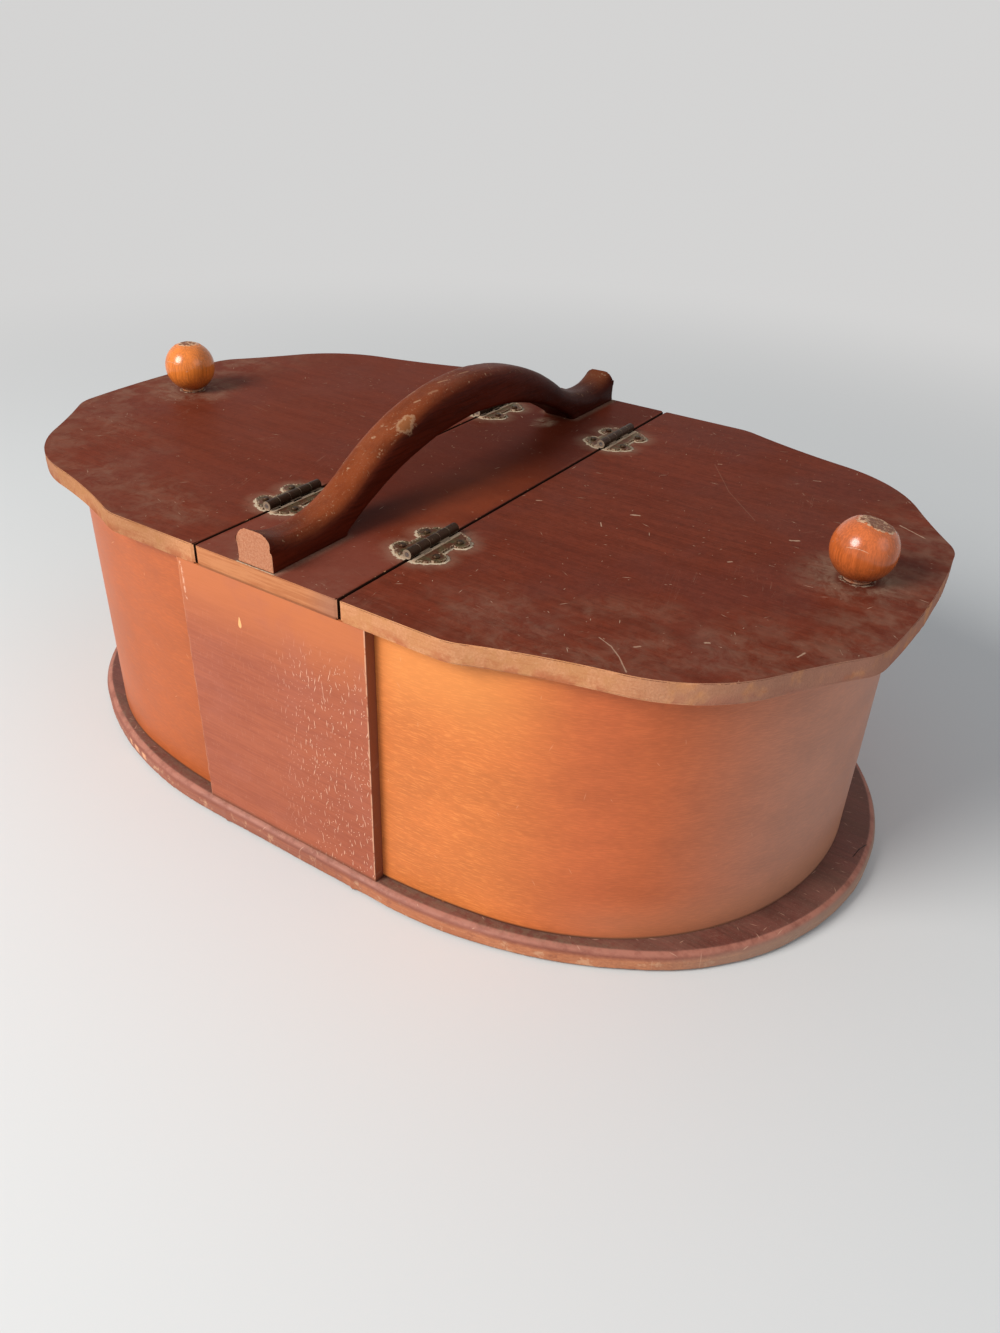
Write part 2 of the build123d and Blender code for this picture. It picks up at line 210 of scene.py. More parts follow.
# --- Colours of single patches, worn places, dirt, painted shade and highlights, by piece ---
TONES = {
    "lid_cloud": (0.124, 0.031, 0.021),
    "lid_left": (0.165, 0.029, 0.012),
    "centre_stain": (0.150, 0.018, 0.006),
    "centre_front": (0.21, 0.066, 0.045),
    "centre_warm": (0.27, 0.052, 0.018),
    "lid_scratch": (0.52, 0.34, 0.23),
    "sawn_orange": (0.50, 0.22, 0.085),
    "sawn_lines": (0.44, 0.155, 0.065),
    "sawn_speck": (0.74, 0.45, 0.27),
    "sawn_stain": (0.40, 0.105, 0.045),
    "sawn_dull": (0.34, 0.165, 0.125),
    "centre_edge": (0.52, 0.205, 0.090),
    "centre_edge_dark": (0.42, 0.145, 0.060),
    "centre_edge_dull": (0.27, 0.125, 0.095),
    "centre_edge_foot": (0.16, 0.050, 0.025),
    "slot_painted_shade": (0.035, 0.014, 0.009),
    "caked_dust": (0.60, 0.48, 0.34),
    "arris_dirt": (0.050, 0.016, 0.010),
    "wall_high": (0.80, 0.29, 0.072),
    "wall_gleam": (0.84, 0.33, 0.085),
    "wall_grime_and_shade": (0.10, 0.034, 0.018),
    "wall_dusty": (0.56, 0.26, 0.14),
    "wall_nick": (0.75, 0.42, 0.24),
    "panel_high": (0.58, 0.168, 0.052),
    "panel_patch": (0.39, 0.112, 0.068),
    "panel_scuff": (0.84, 0.52, 0.37),
    "panel_chip": (0.86, 0.43, 0.17),
    "panel_side": (0.22, 0.060, 0.026),
    "panel_arris": (0.68, 0.36, 0.22),
    "panel_foot": (0.11, 0.04, 0.022),
    "base_flat": (0.170, 0.050, 0.036),
    "base_flat_dark": (0.100, 0.030, 0.021),
    "base_upper": (0.28, 0.090, 0.058),
    "base_upper_dark": (0.20, 0.060, 0.038),
    "base_tan": (0.58, 0.225, 0.105),
    "base_tan_dark": (0.42, 0.140, 0.062),
    "base_brown": (0.37, 0.130, 0.078),
    "base_brown_dark": (0.28, 0.088, 0.050),
    "base_stain": (0.27, 0.075, 0.040),
    "base_bare": (0.68, 0.38, 0.22),
    "base_ridge_wear_and_highlight": (0.46, 0.190, 0.130),
    "base_end": (0.36, 0.23, 0.165),
    "base_foot_shadow": (0.075, 0.026, 0.016),
    "base_wall_dust": (0.20, 0.165, 0.105),
    "base_crease_shade": (0.040, 0.022, 0.014),
    "base_scratch": (0.62, 0.37, 0.25),
    "base_chip": (0.80, 0.40, 0.22),
    "base_crack": (0.02, 0.009, 0.006),
    "handle_patch": (0.34, 0.130, 0.046),
    "handle_patch_rim": (0.50, 0.30, 0.17),
    "handle_toe_highlight": (0.34, 0.085, 0.028),
    "handle_chip": (0.47, 0.28, 0.16),
    "handle_end_dark": (0.39, 0.142, 0.072),
    "handle_end": (0.50, 0.225, 0.128),
    "knob_left": (0.72, 0.195, 0.030),
    "knob_bare_dark": (0.15, 0.045, 0.017),
    "knob_bare": (0.22, 0.072, 0.027),
    "knob_rim": (0.62, 0.38, 0.22),
    "knob_mark": (0.78, 0.52, 0.34),
    "brass_red": (0.150, 0.038, 0.018),
    "brass_green": (0.105, 0.098, 0.045),
    "nail": (0.050, 0.030, 0.018),
    "barrel": (0.036, 0.016, 0.009),
    "rust": (0.12, 0.045, 0.02),
}


# =========================================================================================
# Settings
# =========================================================================================
def colour_setting(name, description, value):
    return bpy.props.FloatVectorProperty(
        name=name, description=description, default=value, subtype="COLOR", min=0, max=1
    )


def length_setting(name, description, value):
    return bpy.props.FloatProperty(
        name=name, description=description, default=value, unit="LENGTH", precision=5
    )


def angle_setting(name, description, value):
    return bpy.props.FloatProperty(
        name=name, description=description, default=radians(value), subtype="ANGLE", unit="ROTATION"
    )


def power_setting(name, description, value):
    return bpy.props.FloatProperty(
        name=name, description=description, default=value, subtype="POWER", unit="POWER"
    )


class CarrierFinish(bpy.types.PropertyGroup):
    """Colours of the stains, the bare wood, the dust, the metal and a painted sheen."""

    amber: colour_setting("Amber", "Varnish on the bent walls", (0.545, 0.123, 0.038))
    amber_left: colour_setting("Amber, left", "Redder left wall", (0.425, 0.095, 0.022))
    gold: colour_setting("Gold", "Golden part of the right wall", (0.635, 0.178, 0.042))
    # Painted sheen: the grey-mauve at the right end of the right wall stands in for a grazing
    # reflection, not for greyed varnish.
    bloom: colour_setting("Bloom", "Greyed varnish at the right end", (0.47, 0.200, 0.125))
    red: colour_setting("Red stain", "Seam panels", (0.400, 0.105, 0.048))
    red_dark: colour_setting("Red grain", "Dark grain of the panels", (0.325, 0.078, 0.036))
    maroon: colour_setting("Maroon stain", "Lids and centre board", (0.164, 0.0310, 0.0145))
    maroon_dark: colour_setting("Maroon grain", "Dark grain of the lids", (0.116, 0.0210, 0.0098))
    bare: colour_setting("Bare wood", "Sawn and worn edges", (0.63, 0.30, 0.150))
    bare_dark: colour_setting("Bare grain", "Dark specks of bare wood", (0.50, 0.205, 0.090))
    handle: colour_setting("Handle stain", "Carrying handle", (0.104, 0.0135, 0.0050))
    handle_rub: colour_setting("Handle wear", "Rubbed top of the handle", (0.235, 0.052, 0.015))
    knob: colour_setting("Knob varnish", "Ball knobs", (0.56, 0.125, 0.028))
    inside: colour_setting("Inner wood", "Unvarnished inner faces", (0.46, 0.26, 0.13))
    dust: colour_setting("Dust", "Dust film and caked dust", (0.44, 0.32, 0.22))
    brass: colour_setting("Brass", "Tarnished hinge brass", (0.15, 0.092, 0.042))
    steel: colour_setting("Steel", "Screws and pins", (0.30, 0.28, 0.26))


class CarrierWear(bpy.types.PropertyGroup):
    """Depths to which the edges are worn."""

    edge_depth: length_setting("Edge wear", "Deepest small dents along an edge", 0.35 * MM)
    edge_waver: length_setting("Edge waver", "Slow unevenness of a sawn edge", 0.7 * MM)
    handle_waver: length_setting("Handle waver", "Unevenness of the shaped handle", 0.4 * MM)


class CarrierCamera(bpy.types.PropertyGroup):
    """Where the camera stands and how it looks."""

    place: bpy.props.FloatVectorProperty(
        name="Place",
        description="Where the camera stands",
        default=(0.2562, -0.3660, 0.3152),
        subtype="TRANSLATION",
        unit="LENGTH",
    )
    azimuth: angle_setting("Azimuth", "Turn to the left of the front", 32.61)
    elevation: angle_setting("Elevation", "Downward tilt", 32.44)
    roll: angle_setting("Roll", "Turn about the line of sight", 2.20)
    lens: bpy.props.FloatProperty(
        name="Lens", description="Focal length in millimetres", default=27.73, min=1
    )


class CarrierLight(bpy.types.PropertyGroup):
    """Power of the lamps, and brightness of the room and the backdrop."""

    key: power_setting("Key", "Power of the large lamp", 29.8)
    fill: power_setting("Fill", "Power of the lamp at the right", 2.5)
    room: bpy.props.FloatProperty(
        name="Room", description="Brightness of the room", default=0.42, min=0
    )
    floor: colour_setting("Floor", "Colour of the floor", (0.675, 0.685, 0.680))
    backdrop: colour_setting("Backdrop", "Colour behind the floor", (0.66, 0.655, 0.65))


# =========================================================================================
# Modelling
# =========================================================================================
def select_only(*pieces):
    if bpy.context.object and bpy.context.object.mode == "EDIT":
        bpy.ops.object.mode_set(mode="OBJECT")
    bpy.ops.object.select_all(action="DESELECT")
    for piece in pieces:
        piece.select_set(True)
    bpy.context.view_layer.objects.active = pieces[0]


def pick(piece, kind, test):
    """Select, in edit mode, the vertices, edges or faces whose points pass a test."""
    select_only(piece)
    bpy.ops.object.mode_set(mode="EDIT")
    bpy.ops.mesh.select_mode(type=kind)
    bpy.ops.mesh.select_all(action="DESELECT")
    bpy.ops.object.mode_set(mode="OBJECT")
    mesh = piece.data
    if kind == "VERT":
        for vertex in mesh.vertices:
            vertex.select = test([vertex.co])
    else:
        for item in mesh.edges if kind == "EDGE" else mesh.polygons:
            item.select = test([mesh.vertices[i].co for i in item.vertices])
    bpy.ops.object.mode_set(mode="EDIT")


def at_height(height):
    return lambda points: all(abs(point.z - height) < 0.01 * MM for point in points)


def edit_all(piece):
    """Enter edit mode with the whole piece selected."""
    select_only(piece)
    bpy.ops.object.mode_set(mode="EDIT")
    bpy.ops.mesh.select_all(action="SELECT")


def extrude(move):
    bpy.ops.mesh.extrude_region_move(TRANSFORM_OT_translate={"value": move})


def round_edges(piece, test, radius, segments):
    """Round the edges of a piece whose points pass a test."""
    pick(piece, "EDGE", test)
    bpy.ops.mesh.bevel(offset=radius, segments=segments, affect="EDGES")


def finish_edit(piece):
    """Merge doubles, turn the faces outwards and leave edit mode."""
    edit_all(piece)
    bpy.ops.mesh.remove_doubles(threshold=0.01 * MM)
    bpy.ops.mesh.normals_make_consistent(inside=False)
    bpy.ops.object.mode_set(mode="OBJECT")
    return piece


def modify(piece, kind, **settings):
    """Add a modifier to a piece and apply it."""
    select_only(piece)
    modifier = piece.modifiers.new(kind.title(), kind)
    for name, value in settings.items():
        setattr(modifier, name, value)
    bpy.ops.object.modifier_apply(modifier=modifier.name)
    return piece


def shade_round(piece, angle):
    """Smooth shading, apart from edges sharper than an angle."""
    select_only(piece)
    bpy.ops.object.shade_smooth_by_angle(angle=radians(angle))


def smooth(piece, angle=35):
    """Smooth shading that keeps large flat faces flat."""
    shade_round(piece, angle)
    return modify(piece, "WEIGHTED_NORMAL", mode="FACE_AREA", weight=100, keep_sharp=True)


def node_copy(node, name):
    """A merged copy of a CAD node's mesh, free of its body."""
    select_only(frame["nodes"][node])
    bpy.ops.object.duplicate()
    copy = bpy.context.object
    copy.name = name
    copy.parent = None
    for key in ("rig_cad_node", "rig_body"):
        del copy[key]
    bpy.ops.mesh.customdata_custom_splitnormals_clear()
    return finish_edit(copy)


def flipped(piece):
    """Turn a piece into its mirror image on the other side of the middle."""
    select_only(piece)
    piece.scale.x = -1
    bpy.ops.object.transform_apply(location=False, rotation=False, scale=True)
    return finish_edit(piece)


def flat_faces(piece):
    """Join the triangles of each flat face into one face."""
    edit_all(piece)
    bpy.ops.mesh.dissolve_limited(angle_limit=radians(0.5))
    bpy.ops.object.mode_set(mode="OBJECT")
    return piece


def cut_through(piece, axis, low, high, step):
    """Cut a piece across an axis at even steps, to give its long edges points."""
    normal = [index == axis for index in range(3)]
    for number in range(1, ceil((high - low) / step)):
        place = [0, 0, 0]
        place[axis] = low + number * step
        edit_all(piece)
        bpy.ops.mesh.bisect(plane_co=place, plane_no=normal)
    return finish_edit(piece)


def wear(piece, amount, grain, detail, test=None):
    """Take uneven wear off the vertices that pass a test; it never adds."""
    cloud = bpy.data.textures.new("wear", "CLOUDS")
    cloud.noise_scale = grain
    cloud.noise_depth = detail
    group = ""
    if test:
        worn = piece.vertex_groups.new(name="worn")
        worn.add([v.index for v in piece.data.vertices if test(v.co)], 1, "REPLACE")
        group = worn.name
    modify(piece, "DISPLACE", texture=cloud, strength=amount, mid_level=1, vertex_group=group)
    piece.vertex_groups.clear()
    return piece


def dress(piece, slot, body, *nodes):
    """Give a finished piece the material of its slot and its place on a body."""
    piece.data.materials.clear()
    piece.data.materials.append(material_for(slot))
    piece.data.name = piece.name
    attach(piece, body)
    if nodes:
        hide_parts(*nodes)
    return piece


class Outline:
    """A line on the ground plane, drawn in edit mode as runs and turns from a start."""

    def __init__(self, name, x, y, heading, height):
        if bpy.context.object and bpy.context.object.mode == "EDIT":
            bpy.ops.object.mode_set(mode="OBJECT")
        bpy.ops.object.select_all(action="DESELECT")
        bpy.ops.mesh.primitive_plane_add(size=ARC_STEP)
        self.piece = bpy.context.object
        self.piece.name = name
        self.point = Vector((x, y, height))
        self.heading = heading
        bpy.ops.object.mode_set(mode="EDIT")
        bpy.ops.mesh.select_mode(type="VERT")
        bpy.ops.mesh.select_all(action="SELECT")
        bpy.ops.mesh.merge(type="CENTER")
        bpy.ops.transform.translate(value=self.point)

    def ahead(self, turned=0):
        angle = radians(self.heading + turned)
        return Vector((cos(angle), sin(angle), 0))

    def run(self, length, steps=0):
        steps = steps or max(1, ceil(length / RUN_STEP))
        for _ in range(steps):
            extrude(self.ahead() * length / steps)
        self.point = self.point + self.ahead() * length

    def turn(self, radius, angle):
        side = 1 if angle > 0 else -1
        centre = self.point + self.ahead(90 * side) * radius
        steps = max(4, ceil(radius * abs(radians(angle)) / ARC_STEP))
        bpy.ops.mesh.spin(steps=steps, angle=-radians(angle), center=centre, axis=(0, 0, 1))
        self.heading += angle
        self.point = centre - self.ahead(90 * side) * radius

    def close(self, *axes):
        """Mirror the line across the given axes and fill it."""
        bpy.ops.object.mode_set(mode="OBJECT")
        modify(
            self.piece, "MIRROR", use_axis=[axis in axes for axis in range(3)],
            merge_threshold=0.05 * MM,
        )
        edit_all(self.piece)
        bpy.ops.mesh.edge_face_add()
        return self.piece


def board(piece, low, high, under_round, top_round, segments):
    """Thicken a filled outline into a board with rounded edges."""
    extrude((0, 0, high - low))
    finish_edit(piece)
    for height, radius in ((high, top_round), (low, under_round)):
        round_edges(piece, at_height(height), radius, segments)
    finish_edit(piece)
    return cut_through(piece, 2, low + under_round, high - top_round, step=1.5 * MM)


def worn_board(piece, low, high, sound=0.0):
    """Wear the edges of a board, with no dents in a sound strip under its top face."""
    sizes = bpy.context.scene.carrier_wear

    def on_edge(point):
        in_slot = abs(abs(point.x) - HINGE_LINE) < 0.9 * MM
        return low + 0.02 * MM < point.z < high - 0.02 * MM and not in_slot

    def dented(point):
        return on_edge(point) and point.z < high - sound

    wear(piece, sizes.edge_waver, grain=24 * MM, test=on_edge, detail=1)
    wear(piece, sizes.edge_depth, grain=2.6 * MM, test=dented, detail=3)
    return smooth(piece)


def shoulder_of(half_length, half_width, flat, end_radius):
    """How far an oval's end centre lies past its flat, and the radius of its shoulder."""
    reach = half_length - end_radius - flat / 2
    return reach, (reach**2 + half_width**2 - end_radius**2) / (2 * (half_width - end_radius))


def oval(name, half_length, half_width, flat, end_radius, height):
    """A quarter of an oval from the middle of its front: a flat, a shoulder and an end."""
    reach, shoulder = shoulder_of(half_length, half_width, flat, end_radius)
    split = degrees(atan2(shoulder - half_width, reach))
    line = Outline(name, 0, -half_width, 0, height)
    line.run(flat / 2)
    line.turn(shoulder, 90 - split)
    line.turn(end_radius, split)
    return line


# =========================================================================================
# Materials
# =========================================================================================
class Wiring:
    """Adds nodes to a tree and joins them."""

    def __init__(self, tree):
        self.tree = tree

    def node(self, kind, **settings):
        made = self.tree.nodes.new(kind)
        for name, value in settings.items():
            setattr(made, name, value)
        return made

    def join(self, value, socket):
        if isinstance(value, bpy.types.NodeSocket):
            self.tree.links.new(value, socket)
        else:
            socket.default_value = value

    def fed(self, made, *values):
        """Outputs of a node whose first inputs are the given values."""
        for value, socket in zip(values, made.inputs):
            self.join(value, socket)
        return made.outputs

    def math(self, operation, *values, clamp=False):
        made = self.node("ShaderNodeMath", operation=operation, use_clamp=clamp)
        return self.fed(made, *values)[0]

    def vector(self, operation, *values, out="Vector"):
        made = self.node("ShaderNodeVectorMath", operation=operation)
        return self.fed(made, *values)[out]

    def parts(self, vector):
        return self.fed(self.node("ShaderNodeSeparateXYZ"), vector)

    def whole(self, *values):
        return self.fed(self.node("ShaderNodeCombineXYZ"), *values)[0]

    def turned(self, spot, axes):
        """Vector of a place's parts in another order; without a third it lies flat."""
        return self.whole(*(spot[axis] for axis in axes), *[0] * (3 - len(axes)))

    def scaled(self, vector, *factors):
        return self.vector("MULTIPLY", vector, factors)

    def toned(self, colour, factor):
        """A colour made darker or lighter by a value."""
        made = self.node("ShaderNodeVectorMath", operation="SCALE")
        self.join(colour, made.inputs[0])
        self.join(factor, made.inputs["Scale"])
        return made.outputs[0]

    def size_of(self, value):
        return self.math("ABSOLUTE", value)

    def less(self, value, taken):
        return self.math("SUBTRACT", value, taken)

    def gap(self, first, second):
        """Distance between two values."""
        return self.size_of(self.less(first, second))

    def length(self, vector):
        return self.vector("LENGTH", vector, out="Value")

    def total(self, *terms):
        """Sum of values, each times its weight."""
        result = self.math("MULTIPLY", *terms[0])
        for term in terms[1:]:
            result = self.math("ADD", result, self.math("MULTIPLY", *term))
        return result

    def all_of(self, *masks):
        result = masks[0]
        for mask in masks[1:]:
            result = self.math("MULTIPLY", result, mask)
        return result

    def most_of(self, *masks):
        result = masks[0]
        for mask in masks[1:]:
            result = self.math("MAXIMUM", result, mask)
        return result

    def noise(self, vector, size, detail=3.0, roughness=0.55, distortion=0.0):
        """Cloudy value from 0 to 1 whose patches are about one size across."""
        made = self.node("ShaderNodeTexNoise")
        self.join(vector, made.inputs["Vector"])
        made.inputs["Scale"].default_value = 1 / size
        made.inputs["Detail"].default_value = detail
        made.inputs["Roughness"].default_value = roughness
        made.inputs["Distortion"].default_value = distortion
        return made.outputs[0]

    def step(self, value, low, high, start=0.0, end=1.0):
        """Smooth change from start to end as a value goes from low to high."""
        made = self.node("ShaderNodeMapRange", interpolation_type="SMOOTHSTEP")
        for name, item in (("Value", value), ("From Min", low), ("From Max", high),
                           ("To Min", start), ("To Max", end)):
            self.join(item, made.inputs[name])
        return made.outputs["Result"]

    def patches(self, vector, size, low, high, end=1.0, detail=3.0):
        """Mask of soft patches where a noise is high."""
        return self.step(self.noise(vector, size, detail, 0.6), low, high, 0.0, end)

    def mix(self, factor, first, second):
        made = self.node("ShaderNodeMix", data_type="RGBA")
        self.join(factor, made.inputs["Factor"])
        for value, name in ((first, "A"), (second, "B")):
            socket = next(s for s in made.inputs if s.name == name and s.type == "RGBA")
            if not isinstance(value, bpy.types.NodeSocket):
                value = (*value, 1)
            self.join(value, socket)
        return next(s for s in made.outputs if s.type == "RGBA")

    def group(self, tree, **values):
        made = self.node("ShaderNodeGroup", node_tree=tree)
        for name, value in values.items():
            self.join(value, made.inputs[name.capitalize()])
        return made.outputs

    def place(self):
        return self.node("ShaderNodeTexCoord").outputs["Object"]

    def facing(self):
        """Parts of the surface's direction on the object."""
        return self.parts(self.node("ShaderNodeTexCoord").outputs["Normal"])

    def flat_distance(self, x, y, spot):
        """Distance seen from above from a point and its mirror image at the other end."""
        off = self.whole(self.less(self.size_of(spot["X"]), x), self.less(spot["Y"], y), 0)
        return self.length(off)

    def oval_distance(self, x, y, middle, squash):
        """Distance from a point of a plane, with the second direction drawn together."""
        y = self.all_of(self.less(y, middle[1]), squash)
        return self.length(self.whole(self.less(x, middle[0]), y, 0))

    def scratch(self, place, points, width):
        """Mask of a thin broken line through a few points."""
        nearest = None
        for first, second in zip(points, points[1:]):
            start, stop = (Vector((*point, 0)) * MM for point in (first, second))
            run = stop - start
            off = self.vector("SUBTRACT", place, start)
            along = self.vector("DOT_PRODUCT", off, run, out="Value")
            along = self.math("DIVIDE", along, run.length_squared, clamp=True)
            beside = self.vector("SUBTRACT", off, self.toned(run, along))
            away = self.length(beside)
            nearest = self.math("MINIMUM", nearest, away) if nearest else away
        rough_width = self.all_of(self.noise(place, 1.5 * MM, 2), 2 * width)
        return self.step(nearest, rough_width, 0.0)

    def drawn(self, place, marks):
        """Mask of several thin lines, each with its own strength."""
        total = None
        for points, width, strength in marks:
            mark = self.all_of(self.scratch(place, points, width), strength)
            total = self.most_of(total, mark) if total else mark
        return total


def effect(name, inputs, outputs):
    """An empty shader node group with named float, vector or colour sockets."""
    tree = bpy.data.node_groups.new(name, "ShaderNodeTree")
    kinds = {"float": "NodeSocketFloat", "vector": "NodeSocketVector"}
    for way, sockets in (("INPUT", inputs), ("OUTPUT", outputs)):
        for socket, kind in sockets.items():
            tree.interface.new_socket(socket, in_out=way, socket_type=kinds[kind])
    wiring = Wiring(tree)
    start = wiring.node("NodeGroupInput").outputs
    end = wiring.node("NodeGroupOutput").inputs
    return wiring, start, end


def build_once(make):
    """Make a node group the first time that it is asked for, and reuse it after that."""

    def tree():
        return bpy.data.node_groups.get(make.__name__) or make(make.__name__)

    return tree


@build_once
def wood_grain(name):
    """Grain along X: fine streaks, broad bands and short dark pores."""
    w, start, end = effect(
        name,
        {"Vector": "vector", "Spacing": "float"},
        {"Streaks": "float", "Bands": "float", "Pores": "float"},
    )
    line = w.vector("DIVIDE", start["Vector"], w.whole(*[start["Spacing"]] * 3))
    sway = w.all_of(w.noise(w.scaled(line, 0.02, 0.02, 0.02), 1, 2), 6)
    swayed = w.vector("ADD", line, w.whole(0, sway, sway))
    w.join(w.noise(w.scaled(swayed, 0.03, 1, 1), 1, 4, 0.65), end["Streaks"])
    w.join(w.noise(w.scaled(swayed, 0.008, 0.12, 0.12), 1, 3, 0.5), end["Bands"])
    pores = w.noise(w.scaled(swayed, 0.12, 2.2, 2.2), 1, 2, 0.5)
    w.join(w.step(pores, 0.62, 0.72), end["Pores"])
    return w.tree


@build_once
def short_marks(name):
    """Separate short marks on the X-Y plane: a share of the cells has one each."""
    w, start, end = effect(
        name,
        {"Vector": "vector", "Cell": "float", "Length": "float", "Width": "float",
         "Share": "float", "Spread": "float"},
        {"Marks": "float"},
    )
    spot = w.parts(start["Vector"])
    flat = w.turned(spot, "XY")
    cells = w.node("ShaderNodeTexVoronoi", voronoi_dimensions="2D", feature="F1")
    w.join(flat, cells.inputs["Vector"])
    w.join(w.math("DIVIDE", 1.0, start["Cell"]), cells.inputs["Scale"])
    chance = w.node("ShaderNodeTexWhiteNoise", noise_dimensions="3D")
    w.join(w.vector("MULTIPLY", cells.outputs["Position"], (997.0, 991.0, 983.0)),
           chance.inputs["Vector"])
    luck = w.parts(chance.outputs["Color"])
    off = w.parts(w.vector("SUBTRACT", flat, cells.outputs["Position"]))
    half_turn = w.all_of(w.less(luck["X"], 0.5), radians(180))
    angle = w.all_of(half_turn, start["Spread"])
    across, ahead = w.math("SINE", angle), w.math("COSINE", angle)
    along = w.total((off["X"], ahead), (off["Y"], across))
    beside = w.less(w.all_of(off["Y"], ahead), w.all_of(off["X"], across))
    reach = w.all_of(start["Length"], w.total((luck["Z"], 0.35), (1.0, 0.15)))
    taper = w.step(w.size_of(along), reach, 0.0)
    half_width = w.all_of(start["Width"], 0.5, taper)
    mark = w.step(w.size_of(beside), half_width, w.all_of(half_width, 0.3))
    w.join(w.all_of(mark, w.math("LESS_THAN", luck["Y"], start["Share"]),
                    w.math("GREATER_THAN", taper, 0.02)), end["Marks"])
    return w.tree


def marks_on(w, vector, cell, length, width, share, spread):
    """Mask of short marks, with the sizes in millimetres."""
    return w.group(short_marks(), vector=vector, cell=cell * MM, length=length * MM,
                   width=width * MM, share=share, spread=spread)["Marks"]


@build_once
def dust_film(name):
    """Patchy film of dust, and its fine grit."""
    w, start, end = effect(name, {"Vector": "vector"}, {"Film": "float", "Grit": "float"})
    broad = w.noise(start["Vector"], 60 * MM, 3, 0.6)
    fine = w.noise(start["Vector"], 2.2 * MM, 4, 0.7)
    w.join(w.step(w.total((broad, 0.65), (fine, 0.35)), 0.36, 0.68), end["Film"])
    w.join(w.patches(start["Vector"], 0.8 * MM, 0.58, 0.72), end["Grit"])
    return w.tree


@build_once
def hairlines(name):
    """Fine hairline scratches in a few directions."""
    w, start, end = effect(name, {"Vector": "vector"}, {"Lines": "float"})
    total = 0.0
    for turn, size in ((12, 30 * MM), (74, 38 * MM), (131, 46 * MM)):
        turned = w.node("ShaderNodeVectorRotate", rotation_type="Z_AXIS")
        w.join(start["Vector"], turned.inputs["Vector"])
        turned.inputs["Angle"].default_value = radians(turn)
        hair = w.noise(w.scaled(turned.outputs[0], 0.05, 1, 1), 2.6 * MM, 2, 0.5, 0.2)
        line = w.step(w.gap(hair, 0.5), 0.006, 0)
        where = w.patches(start["Vector"], size, 0.60, 0.72, detail=2)
        total = w.math("ADD", total, w.all_of(line, where), clamp=True)
    w.join(total, end["Lines"])
    return w.tree


@build_once
def hinge_distance(name):
    """Distance from the outline of the hinge leaves, alike at all four hinges."""
    w, start, end = effect(name, {"Vector": "vector"}, {"Distance": "float"})
    place = w.parts(start["Vector"])
    out = w.gap(w.size_of(place["X"]), HINGE_LINE)
    along = w.gap(w.size_of(place["Y"]), HINGE_AT)
    bars = ((LEAF_BAR[0], LEAF_BAR[1]), (ROLL_RADIUS, HINGE_HALF))
    nearest = None
    for width, length in bars:
        span = w.most_of(w.less(out, width), w.less(along, length))
        nearest = w.math("MINIMUM", nearest, span) if nearest else span
    for x, y, radius in LEAF_LOBES:
        off = w.whole(w.less(out, x), w.less(along, y), 0)
        span = w.less(w.length(off), radius)
        nearest = w.math("MINIMUM", nearest, span)
    w.join(nearest, end["Distance"])
    return w.tree


def new_material(name, specular=0.5):
    material = bpy.data.materials.new(name)
    material.use_nodes = True
    w = Wiring(material.node_tree)
    shader = next(n for n in w.tree.nodes if n.type == "BSDF_PRINCIPLED")
    shader.inputs["Specular IOR Level"].default_value = specular
    return material, w, shader


def surface(w, shader, colour, roughness, relief, depth):
    """Give a finish its colour, its roughness and its fine relief."""
    w.join(colour, shader.inputs["Base Color"])
    w.join(roughness, shader.inputs["Roughness"])
    bump = w.node("ShaderNodeBump")
    bump.inputs["Strength"].default_value = 1.0
    bump.inputs["Distance"].default_value = depth
    w.join(relief, bump.inputs["Height"])
    w.join(bump.outputs["Normal"], shader.inputs["Normal"])


def darker(colour, factor):
    return tuple(channel * factor for channel in colour)


def wood_colour(w, grain, light, dark, pores=0.5):
    """Two stained tones mixed by grain, with dark pores."""
    tone = w.total((grain["Streaks"], 0.6), (grain["Bands"], 0.5))
    colour = w.mix(w.step(tone, 0.36, 0.72), light, dark)
    return w.mix(w.all_of(grain["Pores"], pores), colour, dark)


